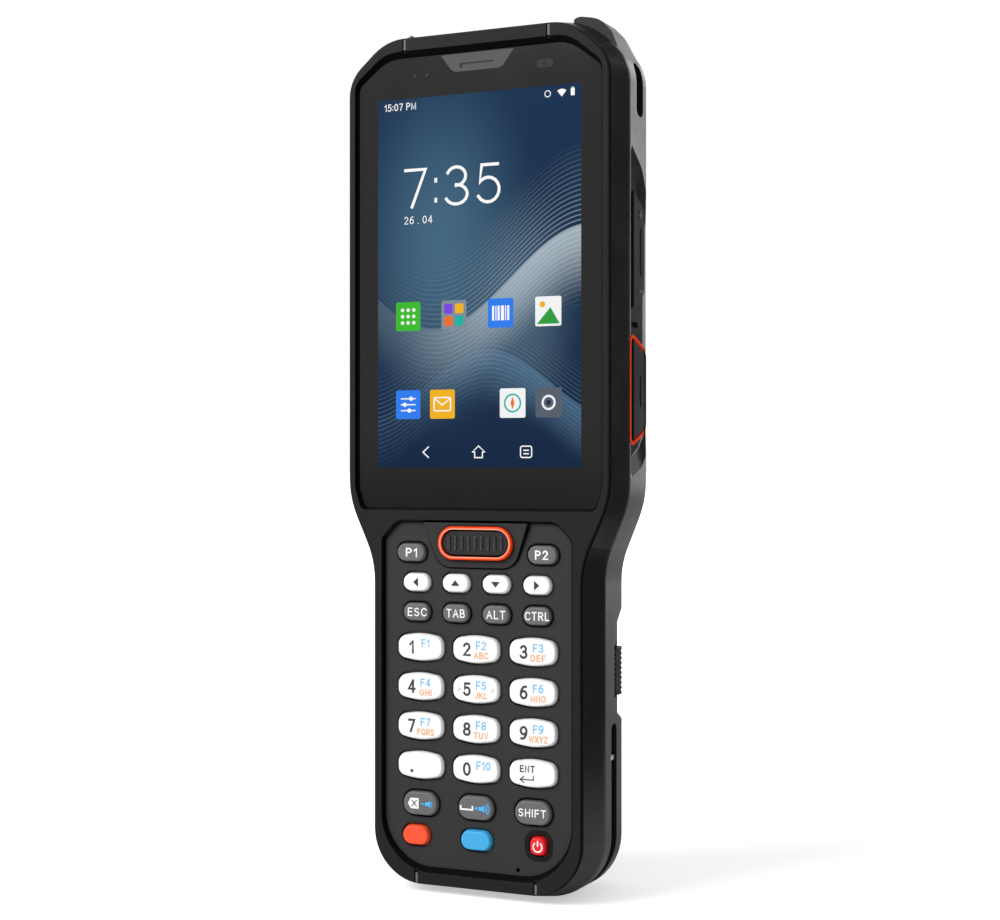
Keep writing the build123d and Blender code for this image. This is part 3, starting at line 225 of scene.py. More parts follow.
# %% Coloured plastics
CAP = {"grain": 0.5, "depth": 0.003, "wear": 0.0, "mottle": 0.03}
white_cap = moulded("pc_white_key", "#F8F8F7", roughness=0.42, edge=0.25, shade_reach=0.8,
                    shade_tone=0.35, **{**CAP, "mottle": 0.015})
grey_cap = moulded("pc_grey_key", "#686868", roughness=0.42, grain=0.5, depth=0.004, edge=0.2,
                   edge_tone_rubbed_and_highlit="#8E8E8E", mottle=0.05, shade_reach=1.0, shade_tone=0.12)
orange_cap = moulded("pc_orange_key", "#FF5530", roughness=0.4, edge=0.2, **CAP)
blue_cap = moulded("pc_blue_key", "#43ADE6", roughness=0.4, edge=0.2, **CAP)
red_cap = moulded("pc_red_key", "#EE2029", roughness=0.4, edge=0.2, **CAP)
# Painted highlight: the pale salmon colour at the orange ring's edges.
orange_ring = moulded("pc_orange_ring", "#FF4404", roughness=0.35, grain=0.5, depth=0.003,
                      edge=0.25, edge_tone_rubbed_and_highlit="#FF9A78", wear=0.25, mottle=0.03, specular=0.08)
trigger_orange = moulded("pc_orange_trigger_ring", "#F23C00", roughness=0.5, edge=0.2,
                         specular=0.02, **CAP)
# Painted highlight: a pale line laid along the scan ring's inner edge.
ring_painted_highlight = moulded("pc_orange_ring_painted_highlight", "#FF9C80", roughness=0.3, edge=0.05, specular=0.3,
                    **{**CAP, "depth": 0.002})
silicone_mat = moulded("silicone_translucent", "#C6C6BF", roughness=0.6, wear=0.0, mottle=0.06)
print("coloured plastics made")

# %% [markdown]
# Some finishes change from place to place on one solid. A tint mixes a second colour in and dulls
# it, by a share that is worked out from the place. The inner walls of the front rim are darkened
# as painted shade, which frames the glass and the keys. The raised plus and minus of the volume
# key and the bar across the lower strap slot are paler. The rings of the side triggers are painted
# black at their back and the side keys darker towards their gap, both as painted shade; the real
# rings are orange all round.

# %% Tints by place
DULL = 0.9                   # roughness of a full tint
RIM_CENTRE = 100.0           # the rim's walls face an axis at this height
WALL_FROM, WALL_FULL = -6, -14                      # facing inward, times the distance
BAR_DEPTH, BAR_DROP = 13.4, 67.3                    # the bar, from the rim and from the display
BAR_HALF = (1.2, 0.5)        # half its depth and half its height
SIGN_HEIGHT = 0.06           # how much the volume key's signs stand out
RING_FADE, KEY_FADE = (1.9, 1.1), (2.6, 2.0)        # from the ring's back, from its front


def tinted(material, colour, share):
    """Mixes another colour into a finish, and dulls it, by a share from 0 to 1."""
    tree = material.node_tree
    shader = next(node for node in tree.nodes if node.type == "BSDF_PRINCIPLED")
    for name, other, numbers in (("Base Color", linear(colour), False), ("Roughness", DULL, True)):
        socket = shader.inputs[name]
        tree.links.new(mix(share, socket.links[0].from_socket, other, numbers), socket)


def coordinate(tree, axis):
    """One coordinate of the place: axis 0 is x, 1 is y, 2 is z."""
    return add(tree, "ShaderNodeSeparateXYZ", {0: place_in(tree)}).outputs[axis]


# Painted shade: the rim's inner walls, which face its axis, are darkened and dulled.
tree = housing_front.node_tree
spot = add(tree, "ShaderNodeTexCoord")
arm = vector_calc("SUBTRACT", spot.outputs["Object"], (0.0, 0.0, RIM_CENTRE * MM))
flat = vector_calc("MULTIPLY", arm, (1.0, 0.0, 1.0))
outward = vector_calc("DOT_PRODUCT", flat, spot.outputs["Normal"])
tinted(housing_front, "#030303", ramp(outward, WALL_FROM * MM, WALL_FULL * MM))

tree = side_key_plastic.node_tree
sign_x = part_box("volume_key")[1].x - SIGN_HEIGHT * MM
tinted(side_key_plastic, "#7A7A7A", calc("GREATER_THAN", coordinate(tree, 0), sign_x))

tree = housing_rear.node_tree
bar_middle = (rim_y + BAR_DEPTH, SCREEN_BASE - BAR_DROP)
inside = [calc("COMPARE", coordinate(tree, axis), middle * MM, half * MM)
          for axis, middle, half in zip((1, 2), bar_middle, BAR_HALF)]
tinted(housing_rear, "#C4C4C4", calc("MULTIPLY", *inside))

# Painted shade: the trigger rings go black towards their back, the side keys dark towards their
# gap.
ring_low, ring_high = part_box("trigger_rings")
ring_fade = [ring_high.y - reach * MM for reach in RING_FADE]
key_fade = [ring_low.y + reach * MM for reach in KEY_FADE]
for material, colour, fade in ((trigger_orange, "#1A0A06", ring_fade),
                               (side_key_plastic, "#040404", key_fade)):
    tinted(material, colour, ramp(coordinate(material.node_tree, 1), *fade))
print("tints laid on the front, the side keys, the strap bar and the trigger rings")

# %% [markdown]
# ## Glass, metal and boards
# The cover glass is chemically hardened, back-printed black round the display, and almost
# perfectly smooth: only faint wipe marks vary its gloss.

# %% Glass finish
SMEAR = 0.03                 # how much rougher the glass is where it was wiped
WIPE_SIZE = 9                # size of the wipe marks in millimetres


def polished(name, colour, roughness, specular=0.5, **sockets):
    """Polished glass or clear plastic with faint wipe marks in its gloss."""
    material, tree = new_material(name)
    stretched = add(tree, "ShaderNodeMapping",
                    {"Vector": place_in(tree), "Scale": (1.0, 1.0, 0.35)})
    wipe = noise(stretched.outputs[0], WIPE_SIZE, 4.0)
    tint = mix(wipe, linear(colour, 0.8), linear(colour))
    gloss = ramp(wipe, 0.3, 0.7, roughness, roughness + SMEAR)
    return finished(material, {"Base Color": tint, "Roughness": gloss,
                               "Specular IOR Level": specular, **sockets})


cover_glass = polished("aluminosilicate_glass_black_print", "#0E0E0E", 0.08, specular=0.3)
red_pane = polished("pmma_scan_window", "#2A070B", 0.06, **{"Transmission Weight": 0.35})
print("glass made")

# %% [markdown]
# Frame, screws, contacts and key domes are metals with a fine brushing, drawn as noise stretched
# along one axis. The pressed domes are even all round.

# %% Metal finish
def brushed(name, colour, roughness, line=0.15, along=(1.0, 1.0, 0.04)):
    """Rolled or turned metal: the finish runs in fine lines, line apart in millimetres."""
    material, tree = new_material(name)
    run = add(tree, "ShaderNodeMapping", {"Vector": place_in(tree), "Scale": along})
    lines = noise(run.outputs[0], line, 2.0)
    shade = mix(lines, linear(colour, 0.75), linear(colour))
    gloss = ramp(lines, 0.0, 1.0, roughness - 0.06, roughness + 0.06)
    bump = add(tree, "ShaderNodeBump", {"Height": lines, "Distance": 0.005 * MM})
    return finished(material, {"Base Color": shade, "Roughness": gloss,
                               "Normal": bump.outputs[0], "Metallic": 1.0})


frame_metal = brushed("magnesium_frame", "#A9A9AB", 0.45)
dome_steel = brushed("stainless_dome", "#C4C3C0", 0.28, along=(1.0, 1.0, 1.0))
screw_steel = brushed("blackened_screw_steel", "#77777A", 0.35, along=(1.0, 0.05, 1.0))
contact_gold = brushed("gold_plated_contact", "#D9A441", 0.25)
print("metals made")

# %% [markdown]
# A circuit board is glass fibre under a green lacquer, with copper tracks that show through as
# slightly raised and lighter runs. A brick pattern with long thin bricks makes believable tracks,
# here 0.8 mm apart.

# %% Circuit board finish
board_lacquer, tree = new_material("fibreglass_board_green")
turned = add(tree, "ShaderNodeMapping",
             {"Vector": place_in(tree), "Rotation": (math.pi / 2, 0.0, 0.0)})
tracks = add(tree, "ShaderNodeTexBrick",
             {"Vector": turned.outputs[0], "Color1": linear("#0F4A2A"), "Color2": linear("#12552F"),
              "Mortar": linear("#2C8A50"), "Scale": 1 / (8 * MM), "Mortar Size": 0.012,
              "Brick Width": 1.4, "Row Height": 0.1})
bump = add(tree, "ShaderNodeBump", {"Height": tracks.outputs[1], "Distance": 0.03 * MM})
finished(board_lacquer, {"Base Color": tracks.outputs[0], "Roughness": 0.3,
                         "Normal": bump.outputs[0]})
print("board lacquer made")

# %% [markdown]
# ## Finishes onto the solids
# Each solid keeps its shape and takes its real material. Keys are sorted by colour; everything
# else is listed by what it is made of.

# %% Assign the finishes
grey_names = "p1 p2 esc tab alt ctrl backspace space shift"
white_names = "left up down right point enter 0 1 2 3 4 5 6 7 8 9"
grey_keys, white_keys = [["key_" + name for name in names.split()]
                         for names in (grey_names, white_names)]
finishes = {
    housing_front: ["front_housing"],
    housing_rear: ["rear_housing"],
    battery_shell: ["battery_pack"],
    deck_plastic: ["keypad_panel"],
    gasket_rubber: ["seam_gasket"],
    pad_rubber: ["side_pads"],
    side_key_plastic: ["volume_key", "side_trigger_right", "side_trigger_left"],
    latch_plastic: ["battery_latch_right", "battery_latch_left"],
    scan_cap_plastic: ["scan_key"],
    inner_plastic: ["receiver", "front_sensors", "scan_engine", "rear_camera", "loudspeaker",
                    "side_switches", "display_module"],
    insert_plastic: ["earpiece_insert"],
    white_cap: white_keys,
    grey_cap: grey_keys,
    orange_cap: ["key_orange"],
    blue_cap: ["key_blue"],
    red_cap: ["key_power"],
    orange_ring: ["scan_key_ring"],
    trigger_orange: ["trigger_rings"],
    silicone_mat: ["key_mat"],
    cover_glass: ["display_window"],
    red_pane: ["scan_window"],
    frame_metal: ["mid_frame"],
    dome_steel: ["key_domes"],
    screw_steel: ["housing_screws"],
    contact_gold: ["battery_contacts", "dock_contacts"],
    board_lacquer: ["main_board", "keypad_board"],
}
for material, names in finishes.items():
    for name in names:
        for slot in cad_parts[name].material_slots:
            slot.material = material
dressed = [name for names in finishes.values() for name in names]
print("dressed:", len(dressed), "left plain:", sorted(set(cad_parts) - set(dressed)))

# %% [markdown]
# ## Printed shapes
# Legends and screen symbols are thin flat shapes. A few small makers cover them all: a polygon, a
# rectangle, a disc, and a line of even width along points. Each gives vertices with x and z in
# millimetres and a depth of 0 at the front and 1 at the back, plus faces.

# %% Shape makers
def polygon(points):
    """A flat shape from its corners (x, z), counter-clockwise as seen from the front."""
    count = len(points)
    verts = [(x, 0, z) for x, z in points] + [(x, 1, z) for x, z in points]
    faces = [list(range(count)), list(range(2 * count - 1, count - 1, -1))]
    faces += [[i, i + count, (i + 1) % count + count, (i + 1) % count] for i in range(count)]
    return verts, faces


def stroke(points, width, closed=False, capped=False):
    """A line of even width along points; a capped one has square ends half a width further out."""
    count = len(points)
    if capped:
        first, last = Vector(points[0]), Vector(points[-1])
        first += (first - Vector(points[1])).normalized() * width / 2
        last += (last - Vector(points[-2])).normalized() * width / 2
        points = [first] + list(points[1:-1]) + [last]
    verts, faces = [], []
    for i in range(count):
        here = Vector(points[i])
        before = Vector(points[i - 1]) if closed or i else None
        after = Vector(points[(i + 1) % count]) if closed or i < count - 1 else None
        way_in = (here - before).normalized() if before else (after - here).normalized()
        way_out = (after - here).normalized() if after else way_in
        middle = (way_in + way_out).normalized()
        reach = width / 2 / max(0.62, middle.dot(way_in))
        side = Vector((-middle.y, middle.x)) * reach
        for point in (here + side, here - side):
            verts += [(point.x, 0, point.y), (point.x, 1, point.y)]
    for i in range(count if closed else count - 1):
        a, b = 4 * i, 4 * ((i + 1) % count)
        faces += [[a, a + 2, b + 2, b], [a + 1, b + 1, b + 3, a + 3],
                  [a, b, b + 1, a + 1], [a + 2, a + 3, b + 3, b + 2]]
    if not closed:
        end = 4 * (count - 1)
        faces += [[0, 1, 3, 2], [end, end + 2, end + 3, end + 1]]
    return verts, faces


def arc(x, z, radius, start, stop, steps=20):
    """Points along an arc, angles in degrees from the right, counter-clockwise."""
    angles = [math.radians(start + (stop - start) * i / steps) for i in range(steps + 1)]
    return [(x + radius * math.cos(a), z + radius * math.sin(a)) for a in angles]


def disc(x, z, radius, steps=24):
    """A round flat shape."""
    return polygon(arc(x, z, radius, 0, 360 - 360 / steps, steps - 1))


def rectangle(left, low, right, high):
    """A flat rectangle between two heights."""
    return polygon([(left, low), (right, low), (right, high), (left, high)])


def rounded(x, z, width, height, radius):
    """Corner points of a rounded rectangle."""
    right, top = width / 2 - radius, height / 2 - radius
    return (arc(x + right, z + top, radius, 0, 90, 6) + arc(x - right, z + top, radius, 90, 180, 6)
            + arc(x - right, z - top, radius, 180, 270, 6)
            + arc(x + right, z - top, radius, 270, 360, 6))


print("corners of a disc:", len(disc(0, 0, 1)[0]))

# %% [markdown]
# Legends on keys and displays are plain sans letters, with strokes of one width. So each character
# is a few centre lines in a box one capital high, and one width of line makes them bold or fine.

# %% Stroke alphabet
def oval(x, z, wide, tall, start, stop, steps=14):
    """Points along part of an ellipse, for the round strokes of a letter."""
    return [((px - x) * wide + x, (pz - z) * tall + z)
            for px, pz in arc(x, z, 1.0, start, stop, steps)]


STEM = [(0, 0), (0, 1)]
BOWL = [(0, 1)] + oval(0.28, 0.74, 0.27, 0.26, 90, -90) + [(0, 0.48)]
ROUND = oval(0.38, 0.5, 0.38, 0.5, 90, 450, 24)
ALPHABET = {
    "0": [oval(0.28, 0.5, 0.28, 0.5, 90, 450, 24)],
    "1": [[(0, 0.74), (0.24, 1), (0.24, 0)]],
    "2": [oval(0.27, 0.73, 0.26, 0.27, 165, -38) + [(0, 0), (0.55, 0)]],
    "3": [oval(0.26, 0.75, 0.24, 0.25, 155, -90), oval(0.26, 0.26, 0.28, 0.26, 90, -155)],
    "4": [[(0.42, 0), (0.42, 1)], [(0.42, 1), (0, 0.27), (0.58, 0.27)]],
    "5": [[(0.5, 1), (0.1, 1), (0.05, 0.53)] + oval(0.26, 0.33, 0.28, 0.33, 130, -150)],
    "6": [oval(0.29, 0.31, 0.27, 0.31, 180, 540, 24), oval(0.42, 0.31, 0.40, 0.69, 180, 78)],
    "7": [[(0, 1), (0.52, 1), (0.17, 0)]],
    "8": [oval(0.28, 0.76, 0.23, 0.24, 270, 630, 24), oval(0.28, 0.26, 0.28, 0.26, 90, 450, 24)],
    "9": [oval(0.28, 0.69, 0.27, 0.31, 0, 360, 24), oval(0.15, 0.69, 0.40, 0.69, 0, -102)],
    "A": [[(0, 0), (0.33, 1), (0.66, 0)], [(0.12, 0.34), (0.54, 0.34)]],
    "B": [STEM, [(0, 1)] + oval(0.28, 0.76, 0.22, 0.24, 90, -90) + [(0, 0.52)],
          [(0.3, 0.52)] + oval(0.3, 0.26, 0.26, 0.26, 90, -90) + [(0, 0)]],
    "C": [oval(0.36, 0.5, 0.36, 0.5, 42, 318, 20)],
    "D": [STEM, [(0, 1)] + oval(0.24, 0.5, 0.38, 0.5, 90, -90) + [(0, 0)]],
    "E": [[(0.5, 1), (0, 1), (0, 0), (0.5, 0)], [(0, 0.52), (0.45, 0.52)]],
    "F": [[(0.5, 1), (0, 1), (0, 0)], [(0, 0.5), (0.43, 0.5)]],
    "G": [oval(0.36, 0.5, 0.36, 0.5, 45, 335, 20) + [(0.7, 0.48), (0.42, 0.48)]],
    "H": [STEM, [(0.6, 0), (0.6, 1)], [(0, 0.52), (0.6, 0.52)]],
    "I": [STEM],
    "J": [[(0.4, 1), (0.4, 0.24)] + oval(0.2, 0.24, 0.2, 0.24, -10, -165)],
    "K": [STEM, [(0.56, 1), (0, 0.38)], [(0.2, 0.58), (0.58, 0)]],
    "L": [[(0, 1), (0, 0), (0.46, 0)]],
    "M": [[(0, 0), (0, 1), (0.36, 0.1), (0.72, 1), (0.72, 0)]],
    "N": [[(0, 0), (0, 1), (0.58, 0), (0.58, 1)]],
    "O": [ROUND],
    "P": [STEM, BOWL],
    "Q": [ROUND, [(0.46, 0.24), (0.76, -0.02)]],
    "R": [STEM, BOWL, [(0.28, 0.48), (0.58, 0)]],
    "S": [oval(0.28, 0.755, 0.25, 0.245, 30, 270) + oval(0.28, 0.255, 0.28, 0.255, 80, -150)],
    "T": [[(0, 1), (0.58, 1)], [(0.29, 1), (0.29, 0)]],
    "U": [[(0, 1), (0, 0.3)] + oval(0.29, 0.3, 0.29, 0.3, 190, 350)
          + [(0.58, 0.3), (0.58, 1)]],
    "V": [[(0, 1), (0.32, 0), (0.64, 1)]],
    "W": [[(0, 1), (0.23, 0), (0.46, 0.95), (0.69, 0), (0.92, 1)]],
    "X": [[(0, 0), (0.58, 1)], [(0, 1), (0.58, 0)]],
    "Y": [[(0, 1), (0.3, 0.46), (0.6, 1)], [(0.3, 0.46), (0.3, 0)]],
    "Z": [[(0, 1), (0.56, 1), (0, 0), (0.56, 0)]],
    ":": [[(0, 0.12), (0, 0.16)], [(0, 0.66), (0, 0.70)]],
    ".": [[(0, 0), (0, 0.03)]],
    " ": [],
}
print("characters drawn as strokes:", len(ALPHABET))

# %% [markdown]
# A word is its characters side by side, each as wide as its strokes. Where two strokes of one
# character cross, the second lies a little in front of the first, so no two faces coincide.

# %% Lettering
STEP = 0.12                  # each crossing stroke lies this share of the ink in front of the last


def merged(shapes):
    """Several flat shapes, each with its order from the back, as one."""
    verts, faces = [], []
    for order, (more_verts, more_faces) in shapes:
        faces += [[len(verts) + i for i in face] for face in more_faces]
        verts += [(x, depth - order * STEP, z) for x, depth, z in more_verts]
    return verts, faces


def lettering(text, height, x, z, weight, width=None, left=False, gap=0.17):
    """Stroke letters of a total height, centred on x and z, or starting at x if left is true."""
    tall = height - weight
    spans = [max([point[0] for path in ALPHABET[c] for point in path] or [0.1]) for c in text]
    run = sum(spans) * tall + (weight + gap * height) * (len(text) - 1)
    wide = (width - weight) / run if width else 1.0
    pen = x + weight / 2 if left else x - run * wide / 2
    shapes = []
    for character, span in zip(text, spans):
        for order, path in enumerate(ALPHABET[character]):
            line = [(pen + px * tall * wide, z + (pz - 0.5) * tall) for px, pz in path]
            ring = len(line) > 3 and (Vector(line[0]) - Vector(line[-1])).length < weight * 0.01
            line = line[:-1] if ring else line
            shapes.append((order, stroke(line, weight, closed=ring, capped=not ring)))
        pen += (span * tall + weight + gap * height) * wide
    return merged(shapes)


print("faces in a sample word:", len(lettering("ENT", 1.6, 0.0, 0.0, 0.26)[1]))

# %% [markdown]
# A piece gathers shapes with their materials into one mesh. It gets its thickness, rides on the
# body that carries it, and takes the slot that says what it is made of.

# %% Piece maker
LIFT = 0.001                 # each shape of a piece lies this much in front of the last
WELD = 0.0005                # corners closer than this are one


def painted(shapes, material):
    """Gives several shapes the same material."""
    return [(shape, material) for shape in shapes]


def make_piece(name, parts, front_y, body, thickness=INK):
    """One mesh from (shape, material) pairs, its front at front_y in millimetres."""
    verts, faces, tags, palette = [], [], [], []
    for order, ((part_verts, part_faces), material) in enumerate(parts):
        if material not in palette:
            palette.append(material)
        start = len(verts)
        front = front_y - order * LIFT
        verts += [(x * MM, (front + depth * thickness) * MM, z * MM) for x, depth, z in part_verts]
        faces += [[start + i for i in face] for face in part_faces]
        tags += [palette.index(material)] * len(part_faces)
    mesh = bpy.data.meshes.new(name)
    mesh.from_pydata(verts, [], faces)
    for material in palette:
        mesh.materials.append(material)
    mesh.polygons.foreach_set("material_index", tags)
    shape = bmesh.new()
    shape.from_mesh(mesh)
    bmesh.ops.remove_doubles(shape, verts=shape.verts, dist=WELD * MM)
    bmesh.ops.recalc_face_normals(shape, faces=shape.faces)
    shape.to_mesh(mesh)
    shape.free()
    piece = bpy.data.objects.new(name, mesh)
    bpy.context.scene.collection.objects.link(piece)
    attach(piece, body)


# %% [markdown]
# ## Key legends
# The legends are pad printed or laser marked, a few hundredths of a millimetre thick. Ink is
# matt and a little uneven, so it uses the moulded finish with a finer, shallower grain.

# %% Inks
def ink(name, colour):
    """A matt printed colour."""
    return moulded(name, colour, roughness=0.6, grain=0.2, depth=0.002, edge=0.02, wear=0.0,
                   mottle=0.04, specular=0.2)


dark_ink = ink("pad_print_dark_grey", "#3C3C3E")
blue_ink = ink("pad_print_light_blue", "#52C0FF")
orange_ink = ink("pad_print_orange", "#FFAA58")
white_ink = ink("pad_print_white", "#FAFAFA")
# Not a print: this black is the ring of painted shade round the power key.
well_painted_shade = ink("pad_painted_shade_black", "#080808")
print("inks made")

# %% [markdown]
# White keys carry a dark digit, a blue function number and orange letters; grey keys carry white
# capitals. Each legend rides on its key, so it goes down with it.

# %% Digits and letters
PRINT_Y = key_y - INK * 0.7


def middle_of(name):
    """Centre (x, z) of a solid in millimetres."""
    low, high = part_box(name)
    return (low.x + high.x) / 2 / MM, (low.z + high.z) / 2 / MM


def legend(key, parts):
    """Prints parts on a key, under the key's name."""
    make_piece("legend_" + key[4:], parts, PRINT_Y, key)


# The letters on each digit's key and how wide they run.
digit_letters = {"2": ("ABC", 3.75), "3": ("DEF", 3.75), "4": ("GHI", 3.1), "5": ("JKL", 3.1),
                 "6": ("MNO", 3.75), "7": ("PQRS", 4.4), "8": ("TUV", 3.75), "9": ("WXYZ", 4.7)}
digits = "1234567890"
for digit in digits:
    name = "key_" + digit
    x, z = middle_of(name)
    function, aside = ("F10", 2.1) if digit == "0" else ("F" + digit, 1.5)
    parts = [(lettering(digit, 3.15, x - 2.15, z, 0.5), dark_ink),
             (lettering(function, 1.9, x + aside, z + 0.95, 0.24), blue_ink)]
    if digit in digit_letters:
        letters, width = digit_letters[digit]
        parts.append((lettering(letters, 1.5, x + 1.5, z - 1.35, 0.22, width=width), orange_ink))
    legend(name, parts)

# Each word with its height, its width, how far it stands aside and its line.
word_legends = [("P1", 2.15, 3.0, 0.25, 0.38), ("P2", 2.15, 3.3, -0.1, 0.38),
                ("ESC", 2.0, 5.0, 0.35, 0.29), ("TAB", 2.0, 4.8, 0.1, 0.29),
                ("ALT", 2.0, 4.8, 0.1, 0.29), ("CTRL", 2.0, 6.1, 0.15, 0.29),
                ("SHIFT", 1.85, 6.9, 0.0, 0.29)]
for word, height, width, aside, weight in word_legends:
    name = "key_" + word.lower()
    x, z = middle_of(name)
    parts = [(lettering(word, height, x + aside, z, weight, width=width), white_ink)]
    legend(name, parts)
print("word and digit legends:", len(digits) + len(word_legends))

# %% [markdown]
# The remaining keys carry drawn symbols. First the arrowheads, a full stop and the return arrow.

# %% Arrowheads, full stop and return
BASE, RISE = 1.1, 1.3        # an arrowhead's half width and its length
LINE = 0.24                  # width of the finer lines
for name, angle in (("key_right", 0), ("key_up", 90), ("key_left", 180), ("key_down", 270)):
    x, z = middle_of(name)
    cos, sin = math.cos(math.radians(angle)), math.sin(math.radians(angle))
    head = polygon([(x + a * cos - b * sin, z + a * sin + b * cos)
                    for a, b in ((RISE * 0.55, 0.0), (-RISE * 0.45, BASE), (-RISE * 0.45, -BASE))])
    legend(name, [(head, dark_ink)])

x, z = middle_of("key_point")
legend("key_point", [(disc(x - 2.1, z - 1.35, 0.36), dark_ink)])

x, z = middle_of("key_enter")
hook = stroke([(x + 0.3, z - 0.45), (x + 0.3, z - 1.4), (x - 2.9, z - 1.4)], LINE)
barb = stroke([(x - 2.0, z - 0.65), (x - 3.0, z - 1.4), (x - 2.0, z - 2.15)], LINE)
word = lettering("ENT", 1.6, x - 1.2, z + 1.05, 0.26, width=3.7)
legend("key_enter", painted([word, hook, barb], dark_ink))
print("arrowheads, full stop and return drawn")

# %% [markdown]
# Then the delete tab, the space bar, small loudspeakers for the volume shortcuts and the standby
# sign.

# %% Delete, space, volume and standby symbols
def loudspeaker(x, z, waves):
    """The shapes of a small loudspeaker with sound waves, starting at x."""
    cone = polygon([(x, z - 0.42), (x + 0.8, z - 0.42), (x + 1.4, z - 0.85), (x + 1.4, z + 0.85),
                    (x + 0.8, z + 0.42), (x, z + 0.42)])
    return [cone] + [stroke(arc(x + 1.0, z, 0.8 + 0.45 * i, -48, 48, 10), 0.19)
                     for i in range(waves)]


x, z = middle_of("key_backspace")
tab = polygon([(x - 3.15, z), (x - 2.4, z - 1.25), (x - 0.3, z - 1.25), (x - 0.3, z + 1.25),
               (x - 2.4, z + 1.25)])
cross = [stroke([(x - 2.15, z + s * 0.75), (x - 0.8, z - s * 0.75)], LINE) for s in (-1, 1)]
minus = stroke([(x + 0.25, z), (x + 1.25, z)], LINE)
legend("key_backspace",
       [(tab, white_ink)] + painted([minus] + loudspeaker(x + 1.4, z, 1), blue_ink))
make_piece("legend_backspace_cross", painted(cross, dark_ink), PRINT_Y - INK * 0.4,
           "key_backspace")

x, z = middle_of("key_space")
tray = stroke([(x - 3.7, z + 0.5), (x - 3.7, z - 0.4), (x - 0.7, z - 0.4), (x - 0.7, z + 0.5)], 0.4)
plus = [stroke([(x - 0.2, z), (x + 0.6, z)], LINE),
        stroke([(x + 0.2, z - 0.4), (x + 0.2, z + 0.4)], LINE)]
legend("key_space",
       [(tray, white_ink)] + painted(plus + loudspeaker(x + 0.85, z, 3), blue_ink))

x, z = middle_of("key_power")
standby = [stroke(arc(x + 0.1, z - 0.1, 1.1, 125, 415, 30), 0.33),
           stroke([(x + 0.1, z + 0.05), (x + 0.1, z + 1.35)], 0.33)]
legend("key_power", painted(standby, white_ink))
print("symbols drawn")

# %% [markdown]
# ## The lit display
# A display behind glass is light, not paint: its picture is an emission on a dark, barely
# reflecting surface. The picture is a plain abstract one in deep blue and teal: a soft glow and
# two smooth crests with fine contour lines, worked out from the position on the glass.

# %% Display picture
def lit_picture(name):
    """A glowing abstract background, worked out from the place on the display."""
    material, tree = new_material(name)
    # u runs -1 to 1 across the display and v 0 to 1 up it.
    local = vector_calc("SUBTRACT", place_in(tree), (0.0, 0.0, SCREEN_BASE * MM))
    spot = vector_calc("MULTIPLY", local,
                       (2 / SCREEN_WIDTH / MM, 0.0, 1 / SCREEN_HEIGHT / MM))
    parts = add(tree, "ShaderNodeSeparateXYZ", {0: spot})
    u, v = parts.outputs[0], parts.outputs[2]

    def glow(centre_u, centre_v, reach, strength):
        """A round soft light on the picture."""
        away = vector_calc("SUBTRACT", spot, (centre_u, 0.0, centre_v))
        flat = vector_calc("MULTIPLY", away, (0.55, 0.0, 1.0))
        return ramp(vector_calc("LENGTH", flat), 0.0, reach, strength, 0.0,
                    "SMOOTHSTEP")

    def crest(level, height, pace, phase):
        """How far a point is above a wavy line across the picture."""
        wave = calc("SINE", calc("MULTIPLY_ADD", u, pace, phase))
        return calc("SUBTRACT", v, calc("MULTIPLY_ADD", wave, height, level))

    def sheet(above, fade, strength):
        """Bright just under a crest, fading downwards, nothing above it."""
        falling = ramp(above, -fade, 0.0, 0.0, strength, "SMOOTHSTEP")
        return calc("MULTIPLY", falling, ramp(above, 0.004, 0.0))

    def contours(above, spacing, reach, strength):
        """Fine lines that follow a crest on both sides of it."""
        ripple = calc("SINE", calc("MULTIPLY", above, 2 * math.pi / spacing))
        lines = ramp(ripple, 0.45, 1.0, 0.0, strength)
        near = ramp(calc("ABSOLUTE", above), 0.0, reach, 1.0, 0.0)
        return calc("MULTIPLY", lines, near)

    first = crest(0.5, 0.13, 2.1, -0.7)
    second = crest(0.22, 0.09, 2.6, 1.3)
    to_right = ramp(u, -0.9, 0.75, 0.12, 1.0, "SMOOTHSTEP")
    layers = [
        (glow(-0.35, 0.60, 0.58, 0.54), "#55809B", None),
        (glow(0.45, 0.42, 0.35, 0.35), "#6E8FA4", None),
        (sheet(first, 0.2, 0.75), "#B4C3CD", to_right),
        (sheet(second, 0.16, 0.42), "#5E86A6", to_right),
        (contours(first, 0.013, 0.22, 0.4), "#C9D6DE", to_right),
        (contours(second, 0.012, 0.14, 0.2), "#8FB0C8", None),
    ]
    picture = mix(v, linear("#0B2340"), linear("#12304F"))
    for amount, colour, weight in layers:
        if weight:
            amount = calc("MULTIPLY", amount, weight)
        picture = mix(amount, picture, linear(colour))
    return finished(material, {"Base Color": linear("#020305"), "Roughness": 0.1,
                               "Specular IOR Level": 0.08, "Emission Color": picture,
                               "Emission Strength": 1.0})


SCREEN_Y = glass_y - INK * 0.7
screen_shape = rectangle(-SCREEN_WIDTH / 2, SCREEN_BASE, SCREEN_WIDTH / 2,
                         SCREEN_BASE + SCREEN_HEIGHT)
make_piece("display_picture", [(screen_shape, lit_picture("lcd_picture"))], SCREEN_Y, "terminal")
print("display picture in mm:", SCREEN_WIDTH, "by", SCREEN_HEIGHT)

# %% [markdown]
# Symbols on the display glow too. Each colour is one small material: an emission with a faint
# grain of 0.3 mm, which stands in for the pixels of a real panel.

# %% Glowing colours
def lit_colour(name, colour):
    """A screen colour with a faint grain."""
    material, tree = new_material(name)
    shade = mix(noise(place_in(tree), 0.3, 0.0), linear(colour, 0.94), linear(colour))
    return finished(material, {"Base Color": linear("#020202"), "Roughness": 0.2,
                               "Specular IOR Level": 0.08, "Emission Color": shade,
                               "Emission Strength": 1.0})


